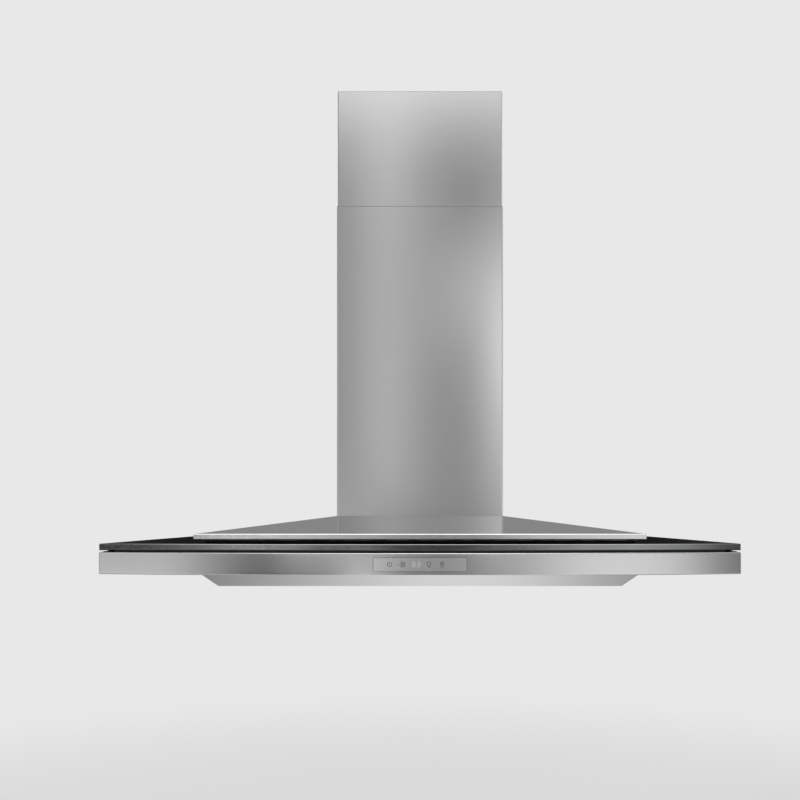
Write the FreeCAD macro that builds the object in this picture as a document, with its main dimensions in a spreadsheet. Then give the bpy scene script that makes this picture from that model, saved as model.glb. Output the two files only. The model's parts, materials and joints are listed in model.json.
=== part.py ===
import FreeCAD, Part
import Sketcher
import math
import os

# A wall-mounted range hood: telescoping chimney, shallow canopy cover, black glass with a bowed
# front, steel band, tapered tray with two baffle filters, and a blower in a box in the chimney.
# Millimetres. X runs along the wall, -Y points away from the wall, Z is up. The origin is the
# centre of the four wall fixings, on the wall face.

dimensions = {
    # canopy, as seen from above
    "hood_width": 900,
    "side_depth": 500,
    "front_bow": 38,
    "cover_width": 654,
    "cover_depth": 463,
    "chimney_width": 281.4,
    "chimney_depth": 250,
    "frame_width": 596,
    "frame_depth": 428,
    "foot_overhang": 4,
    # canopy, stacked from the bottom up
    "tray_drop": 20,
    "band_height": 31,
    "seal_height": 3.6,
    "glass_thickness": 8,
    "cover_gap": 4.5,
    "cover_edge": 8.4,
    "cover_rise": 26.6,
    "lower_length": 524.4,
    "upper_shown": 195,
    "upper_length": 520,
    # sheet metal
    "steel": 1,
    "panel_steel": 1.5,
    "band_lip": 16,
    "cover_lip": 18,
    "chimney_lip": 12,
    "chimney_bend": 2.5,
    "chimney_play": 0.2,
    "fit_gap": 0.3,
    "glass_inset": 0.2,
    "glass_arris": 0.8,
    "glass_corner": 2,
    "glass_room": 2,
    "gasket_gap": 2,
    "gasket_width": 13,
    "gasket_margin": 3,
    "seal_inset": 5,
    "seal_width": 10,
    "seal_end_gap": 22,
    "seal_wall_gap": 20,
    "clip_sheet": 1.3,
    "clip_width": 15,
    "clip_foot": 9,
    "clip_setback": 1.5,
    "clip_length": 14,
    # wall panel
    "fixing_spacing_x": 200,
    "fixing_spacing_z": 400,
    "fixing_radius": 4.5,
    "lower_fixing_height": 12,
    "panel_neck_width": 250,
    "panel_above_fixing": 30,
    "panel_flange": 12,
    "panel_flange_gap": 6,
    # tray
    "tray_top_width": 628,
    "tray_bottom_width": 584,
    "tray_top_depth": 482,
    "tray_bottom_depth": 460,
    "tray_rear": 22,
    "tray_flange": 12,
    "upstand_height": 15,
    "tray_screw_spacing_x": 380,
    "tray_screw_spacing_y": 145,
    # filters
    "filter_width": 262,
    "filter_depth": 317.3,
    "filter_height": 14,
    "filter_rim": 12,
    "filter_spacing": 280,
    "filter_side_gap": 1,
    "filter_front_gap": 1.2,
    "filter_rear_gap": 1.5,
    "filter_lift": 2.5,
    "filter_pivot_y": 71.5,
    "tongue_width": 26,
    "tongue_length": 6,
    "tongue_root": 3,
    "tongue_bead": 1,
    "tongue_spacing": 160,
    "slot_play": 1,
    "slot_height": 4,
    "baffle_width": 20,
    "baffle_pitch": 32.5,
    "baffle_leg": 7,
    "baffle_sheet": 0.8,
    "baffle_end_gap": 0.3,
    "pull_width": 96,
    "pull_grip": 62,
    "pull_slope": 6,
    "pull_proud": 5,
    "pull_sheet": 1.2,
    "clip_leaf": 0.6,
    "clip_leaf_width": 18,
    "clip_leaf_length": 9,
    "clip_spacing": 148,
    "clip_play": 0.05,
    # lamps
    "lamp_spacing": 360,
    "lamp_y": 422,
    "lamp_hole_radius": 24,
    "lamp_bezel_radius": 27,
    "lamp_bezel_lip": 1,
    "lamp_sleeve": 7,
    "lens_radius": 21.5,
    "lens_thickness": 2.6,
    "lens_play": 0.2,
    "lamp_body_height": 13,
    "lamp_fin_reach": 2,
    "lamp_fin_sheet": 1.6,
    # touch control
    "fascia_width": 127,
    "fascia_height": 18,
    "fascia_thickness": 1.5,
    "fascia_recess": 0.4,
    "housing_width": 144,
    "housing_height": 24,
    "housing_depth": 30,
    "housing_wall": 2,
    "board_width": 122,
    "board_height": 14,
    "board_thickness": 1.6,
    "board_setback": 8,
    "touch_pad_radius": 4,
    "touch_gap": 0.1,
    "display_x": -5,
    "display_width": 20,
    "display_height": 10,
    "display_thickness": 5.6,
    # blower
    "box_width": 246,
    "box_depth": 226,
    "box_rear": 10,
    "box_height": 246,
    "box_flange": 10,
    "box_end_flange": 4,
    "box_screw_spacing": 81,
    "throat_margin": 7,
    "wheel_y": 112,
    "wheel_height": 116,
    "wheel_radius": 73,
    "wheel_width": 100,
    "blade_inner_radius": 60,
    "blade_bend": 11,
    "blade_sheet": 0.8,
    "blade_count": 30,
    "blade_sweep": 76,
    "blade_tilt": 8,
    "hoop_width": 3,
    "back_plate": 1.5,
    "hub_radius": 11,
    "hub_length": 16,
    "nut_half_width": 6.5,
    "nut_height": 6,
    "scroll_start": 82,
    "scroll_step": 11,
    "scroll_width": 120,
    "scroll_sheet": 1.2,
    "tongue_radius": 6,
    "inlet_radius": 62,
    "inlet_lip": 9,
    "guard_rim": 7,
    "guard_wire": 2,
    "guard_sheet": 1.5,
    "guard_hub": 12,
    "guard_pitch": 14,
    "motor_radius": 40,
    "motor_length": 52,
    "motor_front_edge": 5,
    "motor_rear_edge": 3,
    "spider_sheet": 2,
    "spider_arm": 12,
    "shaft_radius": 4,
    "shaft_stub": 8,
    "shaft_nose": 12,
    "bearing_radius": 11,
    "bearing_width": 7,
    "bearing_play": 0.03,
    "seat_play": 0.05,
    # duct collar and damper
    "duct_radius": 75,
    "duct_wall": 3,
    "duct_y": 150,
    "adaptor_sheet": 2,
    "adaptor_side_flange": 11,
    "adaptor_end_flange": 4,
    "adaptor_screw_spacing": 80,
    "adaptor_height": 43,
    "collar_height": 40,
    "pin_below_top": 18,
    "pin_radius": 1.5,
    "pin_play": 0.05,
    "flap_gap": 1.5,
    "flap_sheet": 1.2,
    "knuckle_radius": 3,
    "knuckle_length": 25,
    "knuckle_start": 60,
    "knuckle_gap": 5,
    "knuckle_pitch": 70,
    "ledge": 3,
    # ceiling bracket
    "bracket_height": 40,
    "bracket_below_top": 20,
    "bracket_arm": 30,
    "bracket_room": 2,
    "bracket_screw_depth": 22,
    "bracket_hole_spacing": 180,
    "bracket_hole_radius": 3.25,
    # electrics
    "terminal_width": 36,
    "terminal_depth": 110,
    "terminal_height": 44,
    "terminal_inset": 5,
    "terminal_y": 135,
    "terminal_wall": 2,
    "gland_bore": 5,
    "capacitor_radius": 15,
    "capacitor_length": 58,
    "capacitor_height": 150,
    "capacitor_inset": 24,
    "capacitor_clip_width": 14,
    "capacitor_clip_height": 22,
    "driver_x": 380,
    "driver_y": 260,
    "driver_width": 56,
    "driver_length": 140,
    "driver_height": 22,
    "driver_tab": 12,
    "driver_tab_width": 48,
    # screws
    "tab_width": 30,
    "tab_height": 24,
    "tab_screw_height": 14,
    "screw_length": 6,
    "tray_screw_length": 7,
    "screw_radius": 2,
    "screw_head_radius": 4,
    "screw_head_height": 2.4,
    "screw_play": 0.25,
}

document = FreeCAD.newDocument("range_hood")
sheet = document.addObject("Spreadsheet::Sheet", "sizes")


class Length:
    """A size: its value, and the formula that gives it from the driving dimensions."""

    def __init__(self, value, text=None):
        self.value = float(value)
        self.text = text if text else repr(float(value))

    def combine(self, other, sign, value):
        return Length(value, f"({self.text} {sign} {other.text})")

    def __add__(self, other):
        other = length(other)
        return self.combine(other, "+", self.value + other.value)

    def __sub__(self, other):
        other = length(other)
        return self.combine(other, "-", self.value - other.value)

    def __mul__(self, other):
        other = length(other)
        return self.combine(other, "*", self.value * other.value)

    def __truediv__(self, other):
        other = length(other)
        return self.combine(other, "/", self.value / other.value)

    def __neg__(self):
        return Length(-self.value, f"(-1 * {self.text})")

    def __radd__(self, other):
        return length(other) + self

    def __rsub__(self, other):
        return length(other) - self

    def __rmul__(self, other):
        return length(other) * self


def length(number):
    return number if isinstance(number, Length) else Length(number)


def root(number):
    return Length(math.sqrt(number.value), f"sqrt({number.text})")


def cosine(degrees):
    degrees = length(degrees)
    return Length(math.cos(math.radians(degrees.value)), f"cos({degrees.text})")


def sine(degrees):
    degrees = length(degrees)
    return Length(math.sin(math.radians(degrees.value)), f"sin({degrees.text})")


class Sizes:
    """The driving dimensions, each under its own name."""


size = Sizes()
for row, (name, value) in enumerate(dimensions.items(), start=1):
    sheet.set(f"A{row}", name)
    sheet.set(f"B{row}", str(value))
    sheet.setAlias(f"B{row}", name)
    setattr(size, name, Length(value, f"sizes.{name}"))
document.recompute()

nodes = {}


# ---- drawing helpers ----


def new_body(label, origin=(0, 0, 0)):
    """An empty body, with its own origin at the given place."""
    body = document.addObject("PartDesign::Body", label)
    body.Label = label
    for axis, offset in zip("xyz", origin):
        offset = length(offset)
        if offset.value:
            body.setExpression(f"Placement.Base.{axis}", offset.text)
    nodes[label] = body
    return body


def new_sketch(body, plane, offset=0):
    """A sketch parallel to one of the body's origin planes: XY, XZ (facing -Y) or YZ."""
    sketch = body.newObject("Sketcher::SketchObject", f"{body.Label}_{len(body.Group)}")
    role = f"{plane}_Plane"
    support = next(f for f in body.Origin.OriginFeatures if f.Role == role)
    sketch.AttachmentSupport = [(support, "")]
    sketch.MapMode = "FlatFace"
    offset = length(offset)
    if offset.value:
        sketch.setExpression("AttachmentOffset.Base.z", offset.text)
    return sketch


class Arc:
    """The arc from the corner before it to the corner after it."""

    def __init__(self, centre, radius, clockwise=False):
        self.centre = [length(c) for c in centre]
        self.radius = length(radius)
        self.clockwise = clockwise


def fix_point(sketch, geometry, point, x, y):
    for kind, place in (("DistanceX", length(x)), ("DistanceY", length(y))):
        rule = sketch.addConstraint(
            Sketcher.Constraint(kind, -1, 1, geometry, point, place.value)
        )
        sketch.setExpression(f"Constraints[{rule}]", place.text)


def outline(sketch, *items):
    """A closed outline through its corners, straight but for the arcs between them."""
    corners = [i for i in items if not isinstance(i, Arc)]
    corners = [(length(x), length(y)) for x, y in corners]
    arcs = {}
    count = 0
    for item in items:
        if isinstance(item, Arc):
            arcs[count - 1] = item
        else:
            count += 1
    ends = []
    for index, start in enumerate(corners):
        end = corners[(index + 1) % len(corners)]
        first = FreeCAD.Vector(start[0].value, start[1].value, 0)
        last = FreeCAD.Vector(end[0].value, end[1].value, 0)
        if index not in arcs:
            geometry = sketch.addGeometry(Part.LineSegment(first, last), False)
            ends.append((geometry, 1, 2))
            continue
        arc = arcs[index]
        centre = FreeCAD.Vector(arc.centre[0].value, arc.centre[1].value, 0)
        if arc.clockwise:
            first, last = last, first
        angles = [math.atan2(p.y - centre.y, p.x - centre.x) for p in (first, last)]
        if angles[1] < angles[0]:
            angles[1] += 2 * math.pi
        circle = Part.Circle(centre, FreeCAD.Vector(0, 0, 1), arc.radius.value)
        geometry = sketch.addGeometry(Part.ArcOfCircle(circle, *angles), False)
        rule = sketch.addConstraint(
            Sketcher.Constraint("Radius", geometry, arc.radius.value)
        )
        sketch.setExpression(f"Constraints[{rule}]", arc.radius.text)
        ends.append((geometry, 2, 1) if arc.clockwise else (geometry, 1, 2))
    for index, (geometry, start, _) in enumerate(ends):
        before, _, end = ends[index - 1]
        sketch.addConstraint(
            Sketcher.Constraint("Coincident", before, end, geometry, start)
        )
        fix_point(sketch, geometry, start, *corners[index])


def rectangle(sketch, left, right, low, high):
    outline(sketch, (left, low), (right, low), (right, high), (left, high))


def circle(sketch, x, y, radius):
    x, y, radius = length(x), length(y), length(radius)
    centre = FreeCAD.Vector(x.value, y.value, 0)
    shape = Part.Circle(centre, FreeCAD.Vector(0, 0, 1), radius.value)
    geometry = sketch.addGeometry(shape, False)
    rule = sketch.addConstraint(
        Sketcher.Constraint("Radius", geometry, radius.value)
    )
    sketch.setExpression(f"Constraints[{rule}]", radius.text)
    fix_point(sketch, geometry, 3, x, y)


def pad(body, sketch, distance):
    """Adds the sketch's outline, drawn out along the sketch's normal."""
    feature = body.newObject("PartDesign::Pad", f"{sketch.Name}_pad")
    feature.Profile = sketch
    feature.setExpression("Length", length(distance).text)
    return feature


def pocket(body, sketch, distance):
    """Cuts the sketch's outline, drawn out along the sketch's normal."""
    feature = body.newObject("PartDesign::Pocket", f"{sketch.Name}_pocket")
    feature.Profile = sketch
    feature.Reversed = True
    feature.setExpression("Length", length(distance).text)
    return feature


def loft(body, kind, bottom, top):
    feature = body.newObject(f"PartDesign::{kind}Loft", f"{bottom.Name}_loft")
    feature.Profile = bottom
    feature.Sections = [top]
    feature.Ruled = True
    return feature


def turn(body, sketch, kind="Revolution", axis="H_Axis"):
    """Turns the sketch's outline a full circle about one of the sketch's axes."""
    feature = body.newObject(f"PartDesign::{kind}", f"{sketch.Name}_turn")
    feature.Profile = sketch
    feature.ReferenceAxis = (sketch, [axis])
    feature.Angle = 360
    return feature


def polar(body, feature, sketch, count):
    """Repeats a feature round the normal of its sketch."""
    pattern = body.newObject("PartDesign::PolarPattern", f"{feature.Name}_round")
    pattern.Originals = [feature]
    pattern.Axis = (sketch, ["N_Axis"])
    pattern.Angle = 360
    pattern.setExpression("Occurrences", length(count).text)
    body.Tip = pattern
    return pattern


def slab(body, plane, offset, thickness, left, right, low, high):
    """Adds a rectangular plate."""
    sketch = new_sketch(body, plane, offset)
    rectangle(sketch, left, right, low, high)
    return pad(body, sketch, thickness)


def opening(body, plane, offset, thickness, left, right, low, high):
    """Cuts a rectangular opening."""
    sketch = new_sketch(body, plane, offset)
    rectangle(sketch, left, right, low, high)
    return pocket(body, sketch, thickness)


def disc(body, plane, offset, thickness, x, y, radius):
    sketch = new_sketch(body, plane, offset)
    circle(sketch, x, y, radius)
    return pad(body, sketch, thickness)


def holes(body, plane, offset, thickness, places, radius):
    """Drills round holes at the given places."""
    sketch = new_sketch(body, plane, offset)
    for x, y in places:
        circle(sketch, x, y, radius)
    return pocket(body, sketch, thickness)


def edges_where(feature, test):
    """Names of the feature's edges whose bounding box passes the test."""
    document.recompute()
    edges = feature.Shape.Edges
    return [f"Edge{i}" for i, e in enumerate(edges, start=1) if test(e.BoundBox)]


def soften(body, feature, kind, amount, test):
    """Fillets or chamfers the edges that pass the test."""
    names = edges_where(feature, test)
    smooth = body.newObject(f"PartDesign::{kind}", f"{feature.Name}_{kind.lower()}")
    smooth.Base = (feature, names)
    cell = "Radius" if kind == "Fillet" else "Size"
    smooth.setExpression(cell, length(amount).text)
    return smooth


def upright(box):
    return box.ZLength > 1 and box.XLength < 0.01 and box.YLength < 0.01


def group(label, shapes, origin=(0, 0, 0)):
    """Separate solids that share one node: several of the same small piece."""
    feature = document.addObject("Part::Feature", label)
    feature.Label = label
    feature.Shape = Part.makeCompound(shapes)
    place = FreeCAD.Vector(*[length(o).value for o in origin])
    feature.Placement = FreeCAD.Placement(place, FreeCAD.Rotation())
    nodes[label] = feature
    return feature


def block(left, right, low_y, high_y, low_z, high_z):
    """A rectangular solid between six planes."""
    ends = [length(e).value for e in (left, right, low_y, high_y, low_z, high_z)]
    corner = FreeCAD.Vector(ends[0], ends[2], ends[4])
    return Part.makeBox(ends[1] - ends[0], ends[3] - ends[2], ends[5] - ends[4], corner)


def rod(base, direction, radius, distance):
    place = FreeCAD.Vector(*[length(b).value for b in base])
    way = FreeCAD.Vector(*direction)
    return Part.makeCylinder(length(radius).value, length(distance).value, place, way)


def ring(base, direction, outer, inner, distance):
    return rod(base, direction, outer, distance).cut(
        rod(base, direction, inner, distance)
    )


def screw(head_seat, direction, shank):
    """A pan-head screw: the head sits on its seat and the shank runs along the direction."""
    seat = [length(h) for h in head_seat]
    back = [-d for d in direction]
    head = rod(seat, back, size.screw_head_radius, size.screw_head_height)
    return head.fuse(rod(seat, direction, size.screw_radius, shank)).removeSplitter()


# ---- levels and shared places ----

steel = size.steel
half_width = size.hood_width / 2
z_band_bottom = -(size.fixing_spacing_z / 2 + size.lower_fixing_height)
z_tray_bottom = z_band_bottom - size.tray_drop
z_band_top = z_band_bottom + size.band_height
z_glass_bottom = z_band_top + size.seal_height
z_glass_top = z_glass_bottom + size.glass_thickness
z_cover_bottom = z_glass_top + size.cover_gap
z_shoulder = z_cover_bottom + size.cover_edge
z_cover_top = z_shoulder + size.cover_rise
z_seam = z_cover_top + size.lower_length
z_top = z_seam + size.upper_shown
rear = -(size.panel_steel + size.fit_gap)
past_rear = length(1)
chimney_half = size.chimney_width / 2

# The front edge is one arc through both end corners and the middle of the bow.
front_radius = (half_width * half_width + size.front_bow * size.front_bow) / (
    2 * size.front_bow
)
front_centre = front_radius - size.side_depth - size.front_bow


def front_y(x, inset):
    """Where the front arc, moved in by the inset, stands at x."""
    radius = front_radius - inset
    return front_centre - root(radius * radius - x * x)


def bowed_outline(sketch, half, inset, back):
    """A plan outline with straight sides and the hood's bowed front."""
    y = front_y(half, inset)
    bow = Arc((0, front_centre), front_radius - inset, clockwise=True)
    outline(sketch, (half, back), (half, y), bow, (-half, y), (-half, back))


# ---- back panel: holds the hood on the wall ----


def make_back_panel():
    body = new_body("back_panel")
    room = size.fit_gap
    foot = half_width - steel - room
    low = z_band_bottom + steel + room
    step = z_band_top - steel - room
    shoulder = size.cover_width / 2 - steel - room
    slope_room = steel + room
    neck = size.panel_neck_width / 2
    top = size.fixing_spacing_z / 2 + size.panel_above_fixing
    right = [
        (foot, low),
        (foot, step),
        (shoulder, step),
        (shoulder, z_shoulder - slope_room),
        (chimney_half, z_cover_top - slope_room),
        (neck, z_cover_top - slope_room),
        (neck, top),
    ]
    left = [(-x, z) for x, z in reversed(right)]
    sketch = new_sketch(body, "XZ")
    outline(sketch, *right, *left)
    pad(body, sketch, size.panel_steel)
    flange_bottom = z_cover_top + size.panel_flange_gap
    for side in (1, -1):
        inner, outer = sorted(
            (side * (neck - size.panel_steel), side * neck), key=lambda e: e.value
        )
        slab(
            body, "XZ", size.panel_steel, size.panel_flange, inner, outer, flange_bottom, top
        )
    x, z = size.fixing_spacing_x / 2, size.fixing_spacing_z / 2
    corners = [(x, z), (-x, z), (-x, -z), (x, -z)]
    holes(body, "XZ", 0, size.panel_steel, corners, size.fixing_radius)


# ---- band, underside panel and tray ----


def make_canopy_band():
    body = new_body("canopy_band")
    sketch = new_sketch(body, "XY", z_band_bottom)
    bowed_outline(sketch, half_width, 0, 0)
    pad(body, sketch, size.band_height)
    cavity = new_sketch(body, "XY", z_band_bottom + steel)
    bowed_outline(cavity, half_width - steel, steel, past_rear)
    pocket(body, cavity, size.band_height - 2 * steel)
    lip = new_sketch(body, "XY", z_band_bottom)
    bowed_outline(lip, half_width - size.band_lip, size.band_lip, past_rear)
    pocket(body, lip, size.band_height)
    room = size.fit_gap
    wide = size.fascia_width / 2 + room
    tall = size.fascia_height / 2 + room
    middle = z_band_bottom + size.band_height / 2
    before_face = size.side_depth + size.front_bow - size.band_lip / 2
    opening(
        body, "XZ", before_face, size.band_lip, -wide, wide, middle - tall, middle + tall
    )


def tray_screw_places():
    """Screws through underside panel, tray flange and frame foot, as seen from above."""
    x = (size.tray_top_width + size.tray_flange) / 2
    y = size.tray_top_depth + size.tray_flange / 2
    middle = -size.tray_top_depth / 2
    pitch = size.tray_screw_spacing_y
    sides = [(side * x, middle + pitch * step) for side in (1, -1) for step in (-1, 0, 1)]
    front_x = size.tray_screw_spacing_x / 2
    return sides + [(side * front_x, -y) for side in (1, -1)]


def make_underside_panel():
    body = new_body("underside_panel")
    sketch = new_sketch(body, "XY", z_band_bottom + steel)
    room = steel + size.fit_gap
    bowed_outline(sketch, half_width - room, room, rear)
    pad(body, sketch, steel)
    play = size.fit_gap
    half = size.tray_top_width / 2 + play
    opening(
        body, "XY", z_band_bottom, 3 * steel,
        -half, half, -(size.tray_top_depth + play), -(size.tray_rear - play),
    )
    hole = size.screw_radius + size.screw_play
    holes(body, "XY", z_band_bottom, 3 * steel, tray_screw_places(), hole)


def filter_opening(side):
    """Left, right, front and back edges of a filter's opening in the tray."""
    centre = side * size.filter_spacing / 2
    half = size.filter_width / 2 + size.filter_side_gap
    back = -size.filter_pivot_y - steel / 2
    front = back - size.filter_rear_gap - size.filter_depth - size.filter_front_gap
    return centre - half, centre + half, front, back


def make_lower_tray():
    body = new_body("lower_tray")
    neck_top = z_band_bottom + 2 * steel
    drop = size.tray_drop
    half_top, half_bottom = size.tray_top_width / 2, size.tray_bottom_width / 2
    front_top, front_bottom = -size.tray_top_depth, -size.tray_bottom_depth
    back = -size.tray_rear

    def section(height, half, front, rear_edge):
        sketch = new_sketch(body, "XY", height)
        rectangle(sketch, -half, half, front, rear_edge)
        return sketch

    loft(
        body, "Additive",
        section(z_tray_bottom, half_bottom, front_bottom, back),
        section(z_band_bottom, half_top, front_top, back),
    )
    pad(body, section(z_band_bottom, half_top, front_top, back), neck_top - z_band_bottom)
    flange = size.tray_flange
    pad(body, section(neck_top, half_top + flange, front_top - flange, back), steel)
    # The slanted walls keep the sheet's thickness, so the inside steps in a little more there.
    run = half_top - half_bottom
    wall = steel * root(run * run + drop * drop) / drop
    rise = run * steel / drop
    low_half, low_front = half_bottom + rise - wall, front_bottom - rise + wall
    high_half, high_front = half_top - wall, front_top + wall
    inner_back = back - steel
    loft(
        body, "Subtractive",
        section(z_tray_bottom + steel, low_half, low_front, inner_back),
        section(z_band_bottom, high_half, high_front, inner_back),
    )
    pocket(body, section(z_band_bottom, high_half, high_front, inner_back), 3 * steel)
    for side in (-1, 1):
        left, right, front, behind = filter_opening(side)
        slab(
            body, "XY", z_tray_bottom, size.upstand_height,
            left - steel, right + steel, front - steel, behind + steel,
        )
        opening(body, "XY", z_tray_bottom, size.upstand_height, left, right, front, behind)
        for tongue in (-1, 1):
            middle = side * size.filter_spacing / 2 + tongue * size.tongue_spacing / 2
            half = size.tongue_width / 2 + size.slot_play
            height = z_tray_bottom + size.filter_lift
            half_slot = size.slot_height / 2 - size.slot_play / 2
            opening(
                body, "XZ", -behind - 2 * steel, 3 * steel,
                middle - half, middle + half, height - half_slot, height + half_slot,
            )
    lamps = [(side * size.lamp_spacing / 2, -size.lamp_y) for side in (-1, 1)]
    holes(body, "XY", z_tray_bottom, 2 * steel, lamps, size.lamp_hole_radius)
    hole = size.screw_radius + size.screw_play
    holes(body, "XY", neck_top, steel, tray_screw_places(), hole)


def make_inner_frame():
    """Joins the tray to the cover through the notch in the glass, and is open at the wall."""
    body = new_body("inner_frame")
    foot_bottom = z_band_bottom + 3 * steel
    half, front = size.frame_width / 2, -size.frame_depth
    foot = size.tray_top_width / 2 + size.tray_flange + size.foot_overhang
    slab(
        body, "XY", foot_bottom, steel,
        -foot, foot, -(size.tray_top_depth + size.tray_flange), rear,
    )
    slab(body, "XY", foot_bottom, z_cover_bottom - foot_bottom, -half, half, front, rear)
    reach = size.glass_room + size.gasket_gap + size.gasket_width + size.gasket_margin
    slab(
        body, "XY", z_cover_bottom - steel, steel,
        -(half + reach), half + reach, front - reach, rear,
    )
    opening(
        body, "XY", foot_bottom, z_cover_bottom - foot_bottom,
        -(half - steel), half - steel, front + steel, past_rear,
    )
    hole = size.screw_radius + size.screw_play
    holes(body, "XY", foot_bottom, steel, tray_screw_places(), hole)


# ---- glass and what holds it ----


def make_glass_canopy():
    body = new_body("glass_canopy")
    sketch = new_sketch(body, "XY", z_glass_bottom)
    inset = size.glass_inset
    bowed_outline(sketch, half_width - inset, inset, rear)
    plate = pad(body, sketch, size.glass_thickness)
    corner = soften(
        body, plate, "Fillet", size.glass_corner,
        lambda box: upright(box) and box.YMax < rear.value - 1,
    )
    top, bottom = z_glass_top.value, z_glass_bottom.value
    arris = soften(
        body, corner, "Chamfer", size.glass_arris,
        lambda box: box.ZLength < 0.01 and box.YMin < rear.value - 1
        and (abs(box.ZMax - top) < 0.01 or abs(box.ZMax - bottom) < 0.01),
    )
    body.Tip = arris
    half = size.frame_width / 2 + size.glass_room
    front = -(size.frame_depth + size.glass_room)
    opening(
        body, "XY", z_glass_bottom, size.glass_thickness, -half, half, front, past_rear
    )


def make_glass_gasket():
    """A rubber strip on three sides between glass and frame, set back out of sight."""
    body = new_body("glass_gasket")
    gap = size.glass_room + size.gasket_gap
    inner = size.frame_width / 2 + gap
    outer = inner + size.gasket_width
    front_inner = -(size.frame_depth + gap)
    front_outer = front_inner - size.gasket_width
    thickness = size.cover_gap - steel
    slab(body, "XY", z_glass_top, thickness, -outer, outer, front_outer, rear)
    opening(
        body, "XY", z_glass_top, thickness, -inner, inner, front_inner, past_rear
    )


def make_glass_seal():
    """Rubber strips between the band's upper lip and the glass: bowed front and two sides."""
    outer = size.seal_inset.value
    inner = outer + size.seal_width.value
    height = size.seal_height.value
    base = FreeCAD.Vector(0, front_centre.value, z_band_top.value)
    radius = front_radius.value
    arc = Part.makeCylinder(radius - outer, height, base).cut(
        Part.makeCylinder(radius - inner, height, base)
    )
    half = half_width - size.seal_end_gap
    reach = size.side_depth + size.front_bow
    strips = [arc.common(block(-half, half, -reach, -size.frame_depth, z_band_top, z_glass_bottom))]
    front, back = -(size.side_depth - size.seal_end_gap), -size.seal_wall_gap
    for side in (-1, 1):
        low, high = sorted((side * (half_width.value - inner), side * (half_width.value - outer)))
        strips.append(block(low, high, front, back, z_band_top, z_glass_bottom))
    group("glass_seal", strips)


def make_end_clips():
    """Z-shaped clips under the glass's front corners: pad, riser and foot in one strip."""
    clips = []
    sheet_metal = steel.value
    low_y = -size.side_depth + size.clip_setback
    high_y = low_y + size.clip_length
    for side in (-1, 1):
        outer = side * (half_width.value - size.glass_inset.value)
        inner = outer - side * size.clip_width.value
        foot = inner + side * size.clip_foot.value
        bend = inner + side * sheet_metal
        spans = (
            (outer, inner, z_glass_bottom - size.clip_sheet, z_glass_bottom),
            (inner, bend, z_band_top, z_glass_bottom),
            (inner, foot, z_band_top, z_band_top + steel),
        )
        parts = [block(*sorted((a, b)), low_y, high_y, low, high) for a, b, low, high in spans]
        clips.append(parts[0].fuse(parts[1:]).removeSplitter())
    group("glass_end_clips", clips)


# ---- canopy cover ----


def box_screw_places():
    """Screws through the blower box's flange into the cover, as seen from above."""
    x = (size.box_width + size.box_flange) / 2
    middle = -(size.box_rear + size.box_depth / 2)
    pitch = size.box_screw_spacing
    return [(side * x, middle + pitch * step) for side in (1, -1) for step in (-1, 0, 1)]


chimney_screw = (-size.chimney_depth / 2, z_cover_top + size.tab_screw_height)


def make_canopy_cover():
    """A shallow pyramid with a folded edge; it is open at the wall and in the middle."""
    body = new_body("canopy_cover")
    half, front = size.cover_width / 2, -size.cover_depth
    top_front = -size.chimney_depth

    def section(height, half_x, front_edge, rear_edge):
        sketch = new_sketch(body, "XY", height)
        rectangle(sketch, -half_x, half_x, front_edge, rear_edge)
        return sketch

    pad(body, section(z_cover_bottom, half, front, rear), size.cover_edge)
    loft(
        body, "Additive",
        section(z_shoulder, half, front, rear),
        section(z_cover_top, chimney_half, top_front, rear),
    )
    inside = z_shoulder - steel
    loft(
        body, "Subtractive",
        section(inside, half - steel, front + steel, past_rear),
        section(z_cover_top - steel, chimney_half, top_front, past_rear),
    )
    pocket(
        body, section(z_cover_bottom + steel, half - steel, front + steel, past_rear),
        inside - z_cover_bottom - steel,
    )
    lip = size.cover_lip
    pocket(body, section(z_cover_bottom, half - lip, front + lip, past_rear), 2 * steel)
    margin = size.throat_margin
    throat = size.box_width / 2 - margin
    throat_front = -(size.box_rear + size.box_depth - margin - steel)
    throat_back = -(size.box_rear + margin + steel)
    opening(
        body, "XY", z_cover_top - 3 * steel, 4 * steel, -throat, throat, throat_front, throat_back
    )
    # Two upturned tabs take the side screws of the lower chimney.
    middle, reach = chimney_screw[0], size.tab_width / 2
    for side in (-1, 1):
        outer = side * (chimney_half - steel - size.fit_gap)
        inner = outer - side * steel
        low, high = sorted((inner, outer), key=lambda e: e.value)
        slab(
            body, "XY", z_cover_top, size.tab_height, low, high, middle - reach, middle + reach
        )
    hole = size.screw_radius + size.screw_play
    holes(body, "XY", z_cover_top - 2 * steel, 3 * steel, box_screw_places(), hole)
    holes(
        body, "YZ", -size.chimney_width, 2 * size.chimney_width, [chimney_screw], hole
    )


# ---- chimney ----


def make_chimney(label, half, front, wall_y, low, height, screw_places):
    """A folded cover: front, two sides, and a lip at the wall on each side."""
    body = new_body(label)
    plate = slab(body, "XY", low, height, -half, half, front, wall_y)
    outer = soften(
        body, plate, "Fillet", size.chimney_bend,
        lambda box: upright(box) and box.YMax < front.value / 2,
    )
    sketch = new_sketch(body, "XY", low)
    rectangle(sketch, -(half - steel), half - steel, front + steel, wall_y - steel)
    hollow = pocket(body, sketch, height)
    inside = soften(
        body, hollow, "Fillet", size.chimney_bend - steel,
        lambda box: upright(box) and abs(box.YMax - (front + steel).value) < 0.01,
    )
    body.Tip = inside
    slot = half - size.chimney_lip
    opening(body, "XY", low, height, -slot, slot, wall_y - 2 * steel, wall_y + past_rear)
    holes(
        body, "YZ", -size.chimney_width, 2 * size.chimney_width,
        screw_places, size.screw_radius + size.screw_play,
    )
    return body


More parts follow.
